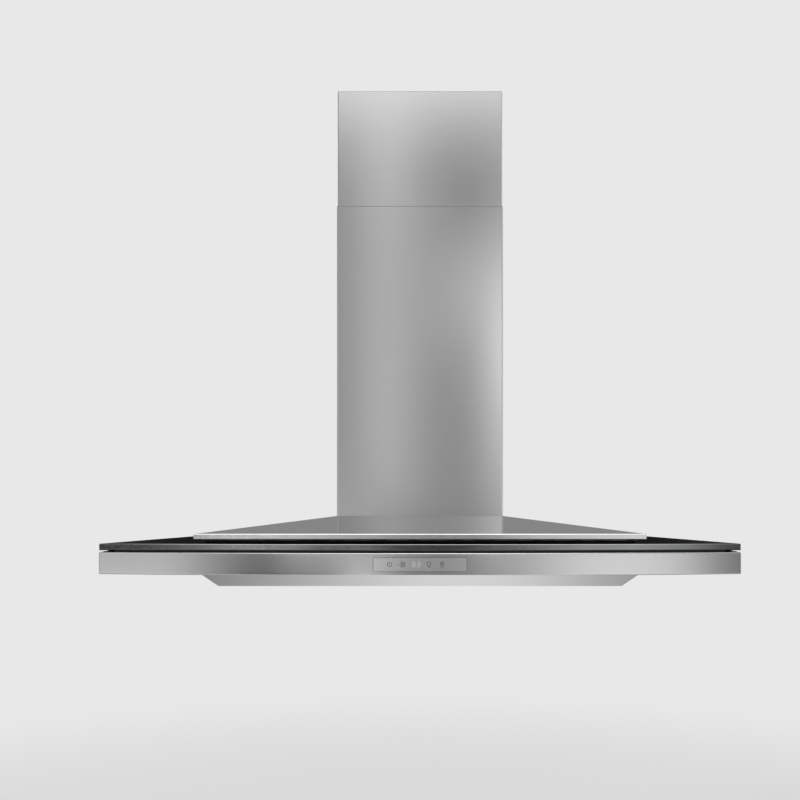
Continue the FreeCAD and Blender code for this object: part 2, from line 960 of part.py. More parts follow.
upper_half = chimney_half - steel - size.chimney_play
upper_front = -(size.chimney_depth - steel - size.chimney_play)
upper_wall_y = -(steel + 2 * size.chimney_play)
z_upper_bottom = z_top - size.upper_length
z_bracket = z_top - size.bracket_below_top - size.bracket_height / 2
bracket_screw = (-size.bracket_screw_depth, z_bracket)


def make_chimneys():
    make_chimney(
        "lower_chimney", chimney_half, -size.chimney_depth, length(0),
        z_cover_top, size.lower_length, [chimney_screw],
    )
    make_chimney(
        "upper_chimney", upper_half, upper_front, upper_wall_y,
        z_upper_bottom, size.upper_length, [bracket_screw],
    )


def make_ceiling_bracket():
    """A joggled strap: flat on the wall, with two arms that reach round to the cover's sides."""
    body = new_body("ceiling_bracket")
    t = size.panel_steel
    tab = upper_half - steel - size.chimney_play
    inner = upper_half - size.chimney_lip - size.bracket_room
    bend = upper_wall_y - steel - size.bracket_room
    arm = -size.bracket_arm
    right = [
        (inner, 0),
        (inner, bend),
        (tab, bend),
        (tab, arm),
        (tab - t, arm),
        (tab - t, bend - t),
        (inner - t, bend - t),
        (inner - t, -t),
    ]
    left = [(-x, y) for x, y in reversed(right)]
    sketch = new_sketch(body, "XY", z_bracket - size.bracket_height / 2)
    outline(sketch, *right, *left)
    pad(body, sketch, size.bracket_height)
    x = size.bracket_hole_spacing / 2
    holes(body, "XZ", 0, t, [(x, z_bracket), (-x, z_bracket)], size.bracket_hole_radius)
    holes(
        body, "YZ", -size.chimney_width, 2 * size.chimney_width,
        [bracket_screw], size.screw_radius + size.screw_play,
    )


# ---- touch control ----

control_z = z_band_bottom + size.band_height / 2
front_face = -(size.side_depth + size.front_bow)
key_places = (-41.5, -23.5, 12.2, 29.9)  # the four touch symbols, along X


def curved_plate(body, low, height, half, outer_inset, inner_inset):
    """A plate that follows the front arc."""
    sketch = new_sketch(body, "XY", low)
    outer, inner = front_y(half, outer_inset), front_y(half, inner_inset)
    outline(
        sketch,
        (half, outer),
        Arc((0, front_centre), front_radius - outer_inset, clockwise=True),
        (-half, outer),
        (-half, inner),
        Arc((0, front_centre), front_radius - inner_inset),
        (half, inner),
    )
    return pad(body, sketch, height)


def make_touch_control():
    recess, thickness = size.fascia_recess, size.fascia_thickness
    back_inset = recess + thickness
    fascia = new_body("touch_fascia")
    curved_plate(
        fascia, control_z - size.fascia_height / 2, size.fascia_height,
        size.fascia_width / 2, recess, back_inset,
    )
    housing = new_body("control_housing")
    half, wall = size.housing_width / 2, size.housing_wall
    low = control_z - size.housing_height / 2
    seat = back_inset + size.touch_gap
    sketch = new_sketch(housing, "XY", low)
    back = front_face + size.housing_depth
    bowed_outline(sketch, half, seat, back)
    pad(housing, sketch, size.housing_height)
    ledge = steel
    cavity = size.fascia_width / 2 - ledge
    inside = size.fascia_height / 2 - ledge
    reach = -(front_face + size.housing_depth - wall)
    opening(
        housing, "XZ", reach, size.housing_depth,
        -cavity, cavity, control_z - inside, control_z + inside,
    )
    board_front = front_face + size.board_setback
    half_board = size.board_width / 2
    half_tall = size.board_height / 2
    board = new_body("control_board")
    slab(
        board, "XZ", -board_front - size.board_thickness, size.board_thickness,
        -half_board, half_board, control_z - half_tall, control_z + half_tall,
    )
    display = new_body("level_display")
    half_display = size.display_height / 2
    slab(
        display, "XZ", -board_front, size.display_thickness,
        size.display_x - size.display_width / 2, size.display_x + size.display_width / 2,
        control_z - half_display, control_z + half_display,
    )
    pads = []
    for x in key_places:
        face = front_y(length(x), back_inset) + size.touch_gap * 1.5
        deep = board_front - face
        pads.append(rod((x, face, control_z), (0, 1, 0), size.touch_pad_radius, deep))
    group("touch_pads", pads)


# ---- blower ----

box_half = size.box_width / 2
box_back = -size.box_rear
box_front = -(size.box_rear + size.box_depth)
z_box_top = z_cover_top + size.box_height
wheel_centre = (0, -size.wheel_y, z_cover_top + size.wheel_height)
outlet_height = z_box_top - steel - size.fit_gap - wheel_centre[2]


def scroll_corners(offset):
    """The scroll's outline about the wheel's centre: three quarter arcs, each a step larger,
    round a small square of centres, then a straight outlet; from the outlet's front wall."""
    step = size.scroll_step
    near = step / 2
    small = size.scroll_start + near + offset
    middle, large = small + step, small + 2 * step
    nose = size.tongue_radius - offset
    nose_z = -near + small - offset + size.tongue_radius
    return [
        (-near - large, outlet_height),
        (-near - large, near),
        Arc((-near, near), large),
        (-near, near - large),
        Arc((-near, -near), middle),
        (-near + middle, -near),
        Arc((near, -near), small),
        (near, -near + small),
        Arc((near, nose_z), nose, clockwise=True),
        (near - nose, nose_z),
        (near - nose, outlet_height),
    ]


def reversed_corners(items):
    """The same outline walked the other way."""
    flipped = []
    for item in reversed(items):
        if isinstance(item, Arc):
            item = Arc(item.centre, item.radius, not item.clockwise)
        flipped.append(item)
    return flipped


def make_scroll():
    thickness = size.scroll_sheet
    half = size.scroll_width / 2
    wrap = new_body("scroll_wrap", wheel_centre)
    sketch = new_sketch(wrap, "YZ", -half)
    outer = reversed_corners(scroll_corners(thickness))
    outline(sketch, *scroll_corners(length(0)), *outer)
    pad(wrap, sketch, size.scroll_width)
    lip = size.inlet_lip
    for label, side in (("scroll_side_left", -1), ("scroll_side_right", 1)):
        body = new_body(label, wheel_centre)
        inner_face = side * half
        low = inner_face if side > 0 else inner_face - thickness
        plate = new_sketch(body, "YZ", low)
        outline(plate, *scroll_corners(thickness))
        pad(body, plate, thickness)
        edge = size.inlet_radius + lip
        holes(body, "YZ", low, thickness, [(0, 0)], edge)
        # The inlet's bell mouth: a quarter ring that turns the sheet into the wheel's eye.
        profile = new_sketch(body, "XY")
        centre_x = side * (half + thickness - lip)
        thin = lip - thickness
        outline(
            profile,
            (centre_x + side * lip, edge),
            Arc((centre_x, edge), lip, clockwise=side > 0),
            (centre_x, edge - lip),
            (centre_x, edge - thin),
            Arc((centre_x, edge), thin, clockwise=side < 0),
            (centre_x + side * thin, edge),
        )
        turn(body, profile)


def make_inlet_guard():
    """A finger guard on the inlet that has no motor: rings on spokes."""
    body = new_body("inlet_guard", wheel_centre)
    base = size.scroll_width / 2 + size.scroll_sheet
    edge = size.inlet_radius + size.inlet_lip
    thickness = size.guard_sheet
    half_wire = size.guard_wire / 2
    rim = new_sketch(body, "YZ", base)
    circle(rim, 0, 0, edge + size.guard_rim)
    circle(rim, 0, 0, edge)
    pad(body, rim, thickness)
    spoke = new_sketch(body, "YZ", base)
    rectangle(spoke, size.guard_hub, edge + size.guard_wire, -thickness, thickness)
    spokes = pad(body, spoke, thickness)
    polar(body, spokes, spoke, 6)
    for step in (1, 2, 3, 4):
        radius = size.guard_pitch * step
        loop = new_sketch(body, "YZ", base)
        circle(loop, 0, 0, radius + half_wire)
        circle(loop, 0, 0, radius - half_wire)
        pad(body, loop, thickness)


def make_motor():
    left_face = -(size.scroll_width / 2 + size.scroll_sheet)
    front_face_x = left_face + size.motor_length
    radius = size.motor_radius
    seat = size.bearing_radius + size.seat_play
    tunnel = size.shaft_radius + steel
    depth = size.bearing_width
    soft, blunt = size.motor_rear_edge, size.motor_front_edge
    can = new_body("motor_can", wheel_centre)
    profile = new_sketch(can, "XY")
    outline(
        profile,
        (left_face, seat),
        (left_face, radius - soft),
        (left_face + soft, radius),
        (front_face_x - blunt, radius),
        (front_face_x, radius - blunt),
        (front_face_x, seat),
        (front_face_x - depth, seat),
        (front_face_x - depth, tunnel),
        (left_face + depth, tunnel),
        (left_face + depth, seat),
    )
    turn(can, profile)
    bore = size.shaft_radius + size.bearing_play
    bearings = [
        ring((x, 0, 0), (1, 0, 0), size.bearing_radius, bore, size.bearing_width)
        for x in (left_face, front_face_x - depth)
    ]
    group("ball_bearings", bearings, wheel_centre)
    spider = new_body("motor_bracket", wheel_centre)
    edge = size.inlet_radius + size.inlet_lip
    thin = size.spider_sheet
    back = left_face - thin
    rim = new_sketch(spider, "YZ", back)
    circle(rim, 0, 0, edge + size.guard_rim)
    circle(rim, 0, 0, edge)
    pad(spider, rim, thin)
    arm = new_sketch(spider, "YZ", back)
    half_arm = size.spider_arm / 2
    rectangle(arm, radius - size.spider_arm, edge + thin, -half_arm, half_arm)
    arms = pad(spider, arm, thin)
    polar(spider, arms, arm, 3)
    plate = new_sketch(spider, "YZ", back)
    circle(plate, 0, 0, radius)
    circle(plate, 0, 0, size.bearing_radius - thin)
    pad(spider, plate, thin)
    shaft = new_body("motor_shaft", wheel_centre)
    start = left_face - size.shaft_stub
    nose = size.hub_length + size.shaft_nose
    disc(shaft, "YZ", start, nose - start, 0, 0, size.shaft_radius)


def make_impeller():
    """A double-inlet wheel: forward-curved blades on a centre disc, tied by two end rings."""
    body = new_body("impeller", wheel_centre)
    half = size.wheel_width / 2
    plate, hoop_width = size.back_plate, size.hoop_width
    inner, outer = size.blade_inner_radius, size.wheel_radius - plate / 3
    disc(body, "YZ", -plate / 2, plate, 0, 0, outer)
    disc(body, "YZ", 0, size.hub_length, 0, 0, size.hub_radius)
    bend, thickness = size.blade_bend, size.blade_sheet
    # One blade is a strip bent round an axis ahead of it, from the inner to the outer radius.
    centre = ((inner + outer) / 2 - 2, bend)
    sweep, tilt = size.blade_sweep / 2, size.blade_tilt
    blade = new_sketch(body, "YZ", -half)
    corners = []
    for radius in (bend, bend + thickness):
        for angle in (tilt - 90 - sweep, tilt - 90 + sweep):
            corners.append(
                (centre[0] + radius * cosine(angle), centre[1] + radius * sine(angle))
            )
    near_in, near_out, far_in, far_out = corners
    outline(
        blade,
        near_in,
        Arc(centre, bend),
        near_out,
        far_out,
        Arc(centre, bend + thickness, clockwise=True),
        far_in,
    )
    blades = pad(body, blade, size.wheel_width)
    polar(body, blades, blade, size.blade_count)
    for low in (-half, half - hoop_width):
        hoop = new_sketch(body, "YZ", low)
        circle(hoop, 0, 0, size.wheel_radius)
        circle(hoop, 0, 0, size.wheel_radius - hoop_width)
        pad(body, hoop, hoop_width)
    bore = size.shaft_radius + size.bearing_play
    holes(body, "YZ", -plate, size.hub_length + 2 * plate, [(0, 0)], bore)
    nut = new_body("impeller_nut", wheel_centre)
    sketch = new_sketch(nut, "YZ", size.hub_length)
    corner = size.nut_half_width / cosine(30)
    outline(sketch, *[(corner * cosine(a), corner * sine(a)) for a in range(0, 360, 60)])
    circle(sketch, 0, 0, bore)
    pad(nut, sketch, size.nut_height)


def make_blower_box():
    body = new_body("blower_box")
    slab(body, "XY", z_cover_top, size.box_height, -box_half, box_half, box_front, box_back)
    side, end = box_half + size.box_flange, size.box_end_flange
    slab(body, "XY", z_cover_top, steel, -side, side, box_front - end, box_back + end)
    opening(
        body, "XY", z_cover_top, size.box_height - steel,
        -(box_half - steel), box_half - steel, box_front + steel, box_back - steel,
    )
    half, front, back = scroll_outlet()
    opening(body, "XY", z_box_top - 2 * steel, 3 * steel, -half, half, front, back)
    hole = size.screw_radius + size.screw_play
    holes(body, "XY", z_cover_top, steel, box_screw_places(), hole)
    holes(body, "XY", z_box_top - 2 * steel, 3 * steel, adaptor_screw_places(), hole)


# ---- duct collar and damper ----


def scroll_outlet():
    """Half width, front edge and back edge of the scroll's oblong outlet."""
    near = size.scroll_step / 2
    large = size.scroll_start + near + 2 * size.scroll_step
    front = -size.wheel_y - near - large
    back = -size.wheel_y + near - size.tongue_radius
    return size.scroll_width / 2, front, back


def adaptor_screw_places():
    """Screws through the adaptor's side flanges into the blower box, as seen from above."""
    half, front, back = scroll_outlet()
    x = half + size.duct_wall + size.adaptor_side_flange / 2
    middle = (front + back) / 2
    reach = size.adaptor_screw_spacing / 2
    return [(side * x, middle + end * reach) for side in (-1, 1) for end in (-1, 1)]


z_collar_bottom = z_box_top + size.adaptor_sheet + size.adaptor_height
z_collar_top = z_collar_bottom + size.collar_height
z_pin = z_collar_top - size.pin_below_top
duct_inner = size.duct_radius - size.duct_wall


def make_outlet_adaptor():
    """Leads the scroll's oblong outlet into the round collar that the duct slides over."""
    body = new_body("outlet_adaptor")
    half, front, back = scroll_outlet()
    wall = size.duct_wall

    def oblong(height, grow):
        sketch = new_sketch(body, "XY", height)
        rectangle(sketch, -(half + grow), half + grow, front - grow, back + grow)
        return sketch

    def round_end(height, radius):
        """A circle in four arcs, one for each side of the oblong."""
        sketch = new_sketch(body, "XY", height)
        middle = -size.duct_y
        corner = radius * cosine(45)
        arc = Arc((0, middle), radius)
        outline(
            sketch,
            (-corner, middle - corner), arc,
            (corner, middle - corner), arc,
            (corner, middle + corner), arc,
            (-corner, middle + corner), arc,
        )
        return sketch

    base_top = z_box_top + size.adaptor_sheet
    side = half + wall + size.adaptor_side_flange
    end = wall + size.adaptor_end_flange
    slab(body, "XY", z_box_top, size.adaptor_sheet, -side, side, front - end, back + end)
    loft(body, "Additive", oblong(base_top, wall), round_end(z_collar_bottom, size.duct_radius))
    pad(body, round_end(z_collar_bottom, size.duct_radius), size.collar_height)
    loft(body, "Subtractive", oblong(base_top, 0), round_end(z_collar_bottom, duct_inner))
    pocket(body, oblong(z_box_top, 0), size.adaptor_sheet)
    pocket(body, round_end(z_collar_bottom, duct_inner), size.collar_height)
    hole = size.screw_radius + size.screw_play
    holes(body, "XY", z_box_top, size.adaptor_sheet, adaptor_screw_places(), hole)
    # The ledge that the closed flaps rest on.
    ledge_top = z_pin - size.flap_sheet / 2 - size.fit_gap
    ledge = new_sketch(body, "XY", ledge_top - size.ledge)
    circle(ledge, 0, -size.duct_y, duct_inner + size.duct_wall / 3)
    circle(ledge, 0, -size.duct_y, duct_inner - size.ledge)
    pad(body, ledge, size.ledge)
    holes(
        body, "YZ", -2 * size.duct_radius, 4 * size.duct_radius,
        [(-size.duct_y, z_pin)], size.pin_radius + size.pin_play,
    )


def make_damper():
    origin = (0, -size.duct_y, z_pin)
    reach = size.duct_radius - size.duct_wall / 6
    group("damper_pin", [rod((-reach, 0, 0), (1, 0, 0), size.pin_radius, 2 * reach)], origin)
    radius = duct_inner - size.flap_gap
    half_sheet = size.flap_sheet / 2
    start = size.knuckle_radius + steel
    bore = size.pin_radius + size.pin_play
    knuckle = size.knuckle_radius
    span = size.knuckle_length
    wing = start + 2 * steel
    # The flaps' knuckles take turns along the pin.
    first = -size.knuckle_start
    starts = {-1: first, 1: first + span + size.knuckle_gap}
    for label, side in (("damper_flap_front", -1), ("damper_flap_rear", 1)):
        body = new_body(label, origin)
        half = root(radius * radius - start * start)
        plate = new_sketch(body, "XY", -half_sheet)
        outline(
            plate,
            (-half, side * start),
            Arc((0, 0), radius, clockwise=side > 0),
            (half, side * start),
        )
        pad(body, plate, size.flap_sheet)
        for low in (starts[side], starts[side] + size.knuckle_pitch):
            sketch = new_sketch(body, "YZ", low)
            outline(
                sketch,
                (0, knuckle),
                Arc((0, 0), knuckle, clockwise=side < 0),
                (-side * knuckle, 0),
                Arc((0, 0), knuckle, clockwise=side < 0),
                (0, -knuckle),
                (side * wing, -half_sheet),
                (side * wing, half_sheet),
            )
            pad(body, sketch, span)
        holes(body, "YZ", -size.duct_radius, 2 * size.duct_radius, [(0, 0)], bore)


# ---- small electrical pieces ----


def make_electrics():
    low, high = z_box_top, z_box_top + size.terminal_height
    right = box_half - size.terminal_inset
    left = right - size.terminal_width
    front = -(size.terminal_y + size.terminal_depth / 2)
    back = front + size.terminal_depth
    wall = size.terminal_wall
    box = new_body("terminal_box")
    slab(box, "XY", low, high - low, left, right, front, back)
    opening(
        box, "XY", low + wall, high - low, left + wall, right - wall, front + wall, back - wall
    )
    cover = new_body("terminal_cover")
    slab(cover, "XY", high, wall, left, right, front, back)
    bore = size.gland_bore
    neck = 1.6 * bore
    gland_x, gland_y = (left + right) / 2, (front + back) / 2
    holes(cover, "XY", high, wall, [(gland_x, gland_y)], neck)
    gland = new_body("cable_gland", (gland_x, gland_y, high))
    profile = new_sketch(gland, "XZ")
    thread = neck - size.seat_play * 4
    outline(
        profile,
        (bore, -3 * wall), (thread, -3 * wall), (thread, wall), (2.4 * bore, wall),
        (2.4 * bore, 7), (2 * bore, 9), (2 * bore, 15), (1.4 * bore, 19), (bore, 19),
    )
    turn(gland, profile, axis="V_Axis")
    make_capacitor()
    driver = new_body("lamp_driver")
    floor = z_band_bottom + 2 * steel
    for height, width, reach in (
        (size.driver_height, size.driver_width, size.driver_length),
        (2 * steel, size.driver_tab_width, size.driver_length + 2 * size.driver_tab),
    ):
        half, end = width / 2, reach / 2
        slab(
            driver, "XY", floor, height,
            size.driver_x - half, size.driver_x + half, -size.driver_y - end, -size.driver_y + end,
        )


def make_capacitor():
    """The motor's run capacitor, held to the blower box's front wall by a round clip."""
    radius = size.capacitor_radius
    clip_sheet, room = steel.value, size.seat_play.value
    inside = radius.value + room
    x = -(box_half - size.capacitor_inset)
    wall = box_front + steel
    y = wall + radius + 2 * steel
    z = z_cover_top + size.capacitor_height
    group("run_capacitor", [rod((x, y, z), (0, 0, 1), radius, size.capacitor_length)])
    low = z + size.capacitor_clip_height
    wide = size.capacitor_clip_width
    hoop = ring((x, y, low), (0, 0, 1), inside + clip_sheet - room, inside, wide)
    foot = block(x - wide / 2, x + wide / 2, wall, y - inside - clip_sheet / 2, low, low + wide)
    group("capacitor_clip", [hoop.fuse(foot).removeSplitter()])


# ---- lamps ----


def make_lamps():
    places = [(side * size.lamp_spacing / 2, -size.lamp_y) for side in (-1, 1)]
    outer, lens = size.lamp_bezel_radius, size.lens_radius
    lip, face, up = size.lamp_bezel_lip, z_tray_bottom, (0, 0, 1)
    tube = lens + size.lens_play
    sleeve = tube + 1.5 * steel
    thick = size.lens_thickness
    bezels, lenses, bodies = [], [], []
    for x, y in places:
        flange = ring((x, y, face - lip), up, outer, tube, lip)
        neck = ring((x, y, face - lip / 2), up, sleeve, tube, size.lamp_sleeve + lip / 2)
        bezels.append(flange.fuse(neck).removeSplitter())
        bottom = face - lip * 0.6
        lenses.append(rod((x, y, bottom), up, lens, thick))
        core = rod((x, y, bottom + thick), up, lens, size.lamp_body_height)
        first = face + size.lamp_sleeve + size.lens_play
        pitch = 2.2 * size.lamp_fin_sheet
        fins = [
            rod((x, y, first + pitch * step), up, lens + size.lamp_fin_reach, size.lamp_fin_sheet)
            for step in (0, 1)
        ]
        bodies.append(core.fuse(fins).removeSplitter())
    group("lamp_bezels", bezels)
    group("lamp_lenses", lenses)
    group("lamp_bodies", bodies)


# ---- filters ----

filter_pivot_z = z_tray_bottom + size.filter_lift


def make_filter(name, side):
    """A grease filter about its rear pivot: a channel rim that holds two rows of baffles,
    the lower troughs open upwards, the upper ones open downwards over the gaps."""
    origin = (side * size.filter_spacing / 2, -size.filter_pivot_y, filter_pivot_z)
    half, rim = size.filter_width / 2, size.filter_rim
    bottom = -steel / 2
    back = -steel / 2 - size.filter_rear_gap
    front = back - size.filter_depth
    body = new_body(f"filter_frame_{name}", origin)
    slab(body, "XY", bottom, size.filter_height, -half, half, front, back)
    opening(
        body, "XY", bottom + steel, size.filter_height - 2 * steel,
        -(half - steel), half - steel, front + steel, back - steel,
    )
    opening(
        body, "XY", bottom, size.filter_height,
        -(half - rim), half - rim, front + rim, back - rim,
    )
    for tongue in (-1, 1):
        middle = tongue * size.tongue_spacing / 2
        half_tongue = size.tongue_width / 2
        slab(
            body, "XY", bottom, steel,
            middle - half_tongue, middle + half_tongue, back - size.tongue_root, size.tongue_length,
        )
        # A bead across the tongue, on the pivot, is what it turns on in its slot.
        disc(
            body, "YZ", middle - half_tongue, size.tongue_width, 0, 0, size.tongue_bead
        )
    low = (bottom + steel).value
    high = low + size.filter_height.value - 2 * steel.value
    thin, leg = size.baffle_sheet.value, size.baffle_leg.value
    gap = size.baffle_end_gap
    start, end = (front + steel + gap).value, (back - steel - gap).value
    pitch, half_baffle = size.baffle_pitch.value, size.baffle_width.value / 2
    clear_half = half.value - steel.value

    def trough(x, base, up):
        inner = half_baffle - thin
        floor_low, floor_high = sorted((base, base + up * thin))
        leg_low, leg_high = sorted((base, base + up * leg))
        parts = [block(x - half_baffle, x + half_baffle, start, end, floor_low, floor_high)]
        for a, b in ((-half_baffle, -inner), (inner, half_baffle)):
            parts.append(block(x + a, x + b, start, end, leg_low, leg_high))
        return parts[0].fuse(parts[1:]).removeSplitter()

    baffles = []
    rows = int((clear_half - half_baffle) / pitch)
    for step in range(-rows, rows + 1):
        baffles.append(trough(step * pitch, high, -1))
    for step in range(-rows - 1, rows + 1):
        x = (step + 0.5) * pitch
        if abs(x) + half_baffle < clear_half:
            baffles.append(trough(x, low, 1))
    group(f"filter_baffles_{name}", baffles, origin)
    pull = new_body(f"filter_pull_{name}", origin)
    strap = new_sketch(pull, "XZ", -front - rim + steel)
    thick, deep = size.pull_sheet, size.pull_proud
    end, grip = size.pull_width / 2, size.pull_grip / 2
    bend = grip + size.pull_slope
    slant = thick / 2
    right = [
        (grip, thick - deep),
        (bend, 0),
        (end, 0),
        (end, -thick),
        (bend + slant, -thick),
        (grip + slant, -deep),
    ]
    left = [(-x, z) for x, z in reversed(right)]
    outline(strap, *[(x, bottom + z) for x, z in right + left])
    pad(pull, strap, rim - 2 * steel)


def make_filter_clips():
    """Leaf clips hooked over the front upstands; their noses press on the filters' front rims."""
    clips = []
    leaf, play = size.clip_leaf.value, size.clip_play.value
    wall, drop = steel.value, size.clip_leaf_length.value
    half = size.clip_leaf_width / 2
    top = (z_tray_bottom + size.upstand_height).value
    for side in (-1, 1):
        left, right, front, _ = filter_opening(side)
        inner = front.value + leaf
        outer = front.value - wall - leaf - play
        for end in (-1, 1):
            x = (left + right) / 2 + end * size.clip_spacing / 2
            spans = (
                (outer, inner, top + play, top + play + leaf),
                (outer, outer + leaf, top - drop, top + 2 * play),
                (inner - leaf + play, inner, top - drop, top + 2 * play),
            )
            parts = [block(x - half, x + half, *span) for span in spans]
            clips.append(parts[0].fuse(parts[1:]).removeSplitter())
    group("filter_clips", clips)


# ---- screws ----


def make_screws():
    panel = z_band_bottom + steel
    up, down = (0, 0, 1), (0, 0, -1)
    long, short = size.tray_screw_length, size.screw_length
    tray = [screw((x, y, panel), up, long) for x, y in tray_screw_places()]
    group("tray_screws", tray)
    flange = z_cover_top + steel
    blower = [screw((x, y, flange), down, short) for x, y in box_screw_places()]
    group("blower_screws", blower)
    flange = z_box_top + size.adaptor_sheet
    adaptor = [screw((x, y, flange), down, short) for x, y in adaptor_screw_places()]
    group("adaptor_screws", adaptor)
    for label, half, place in (
        ("chimney_screws", chimney_half, chimney_screw),
        ("bracket_screws", upper_half, bracket_screw),
    ):
        pair = [screw((side * half, *place), (-side, 0, 0), short) for side in (-1, 1)]
        group(label, pair)


make_back_panel()
make_canopy_band()
make_underside_panel()
make_lower_tray()
make_inner_frame()
make_glass_canopy()
make_glass_gasket()
make_glass_seal()
make_end_clips()
make_canopy_cover()
make_chimneys()
make_ceiling_bracket()
make_touch_control()
make_scroll()
make_inlet_guard()
make_motor()
make_impeller()
make_blower_box()
make_outlet_adaptor()
make_damper()
make_electrics()
make_lamps()
make_filter("left", -1)
make_filter("right", 1)
make_filter_clips()
make_screws()
document.recompute()

failed = [o.Name for o in document.Objects if {"Invalid", "Error"} & set(o.State)]
if failed:
    raise SystemExit(f"these objects failed: {failed}")
for label, node in nodes.items():
    shape = node.Shape
    if shape.isNull() or not shape.isValid() or not shape.Solids:
        raise SystemExit(f"{label} has no valid solid")

os.makedirs("parts", exist_ok=True)
for label, node in nodes.items():
    node.Shape.exportStep(f"parts/{label}.step")
print(len(nodes), "nodes")
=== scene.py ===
import json
import math

import bmesh
import bpy
import numpy as np
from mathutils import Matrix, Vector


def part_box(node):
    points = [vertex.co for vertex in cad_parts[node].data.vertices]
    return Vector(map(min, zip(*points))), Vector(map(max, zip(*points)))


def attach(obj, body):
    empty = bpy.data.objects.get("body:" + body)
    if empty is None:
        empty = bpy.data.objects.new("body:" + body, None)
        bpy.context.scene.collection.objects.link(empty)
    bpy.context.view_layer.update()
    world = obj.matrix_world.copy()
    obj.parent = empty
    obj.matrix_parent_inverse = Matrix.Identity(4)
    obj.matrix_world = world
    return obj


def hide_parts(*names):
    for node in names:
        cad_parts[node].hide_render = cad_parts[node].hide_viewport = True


# A curved glass range hood in a pale studio. The hood's sizes are in millimetres, which the mesh
# helpers turn into metres; the studio's are in metres. X runs along the wall, -Y points away from
# it, Z is up.

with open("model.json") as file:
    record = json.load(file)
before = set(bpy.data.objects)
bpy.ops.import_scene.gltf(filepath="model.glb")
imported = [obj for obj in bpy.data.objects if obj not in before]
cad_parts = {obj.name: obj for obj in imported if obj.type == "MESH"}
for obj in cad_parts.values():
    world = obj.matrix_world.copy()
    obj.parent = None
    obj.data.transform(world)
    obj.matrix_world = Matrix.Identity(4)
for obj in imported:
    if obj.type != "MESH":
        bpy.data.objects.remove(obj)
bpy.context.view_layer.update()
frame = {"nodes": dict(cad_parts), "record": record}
nodes = frame["nodes"]
bodyOf = {n: b for b, names in frame["record"]["behaviour"]["bodies"].items() for n in names}
slotOf = {part["node"]: part["material_slot"] for part in frame["record"]["subparts"]}
metre = 0.001
replaced = set()


# Shader nodes and colours.


def linearColour(code):
    # An sRGB hex colour, turned to linear light.
    share = np.array([int(code[i : i + 2], 16) for i in (0, 2, 4)]) / 255
    linear = np.where(share <= 0.04045, share / 12.92, ((share + 0.055) / 1.055) ** 2.4)
    return (*linear.tolist(), 1.0)


def addNode(tree, kind, settings=None, links=None):
    # A shader node with its values and its incoming links; a key is a property, socket or index.
    node = tree.nodes.new(kind)
    for key, value in (settings or {}).items():
        if isinstance(key, int) or key in node.inputs:
            node.inputs[key].default_value = value
        else:
            setattr(node, key, value)
    for key, source in (links or {}).items():
        tree.links.new(source, node.inputs[key])
    return node


def startMaterial(name, values):
    # A new material with the shader's values set, and the coordinates that its patterns read.
    material = bpy.data.materials.new(name)
    material.use_nodes = True
    tree = material.node_tree
    shader = tree.nodes["Principled BSDF"]
    for key, value in values.items():
        shader.inputs[key].default_value = value
    where = addNode(tree, "ShaderNodeTexCoord")
    return material, tree, shader, where


noiseRange = {1: 0.3, 2: 0.7}  # where most of a noise's values lie


def colourAndRelief(tree, shader, tintFrom, light, dark, reliefFrom, strength, depth):
    # One pattern, stretched over its usual range, blends the dark colour into the light one; the
    # other's height gives relief, its depth in millimetres.
    share = addNode(tree, "ShaderNodeMapRange", {**noiseRange, 3: 0, 4: 1}, {0: tintFrom})
    tint = addNode(
        tree, "ShaderNodeMix",
        {"data_type": "RGBA", 6: linearColour(dark), 7: linearColour(light)},
        {0: share.outputs[0]},
    )
    relief = addNode(
        tree, "ShaderNodeBump", {"Strength": strength, "Distance": depth * metre},
        {"Height": reliefFrom},
    )
    tree.links.new(tint.outputs[2], shader.inputs["Base Color"])
    tree.links.new(relief.outputs["Normal"], shader.inputs["Normal"])


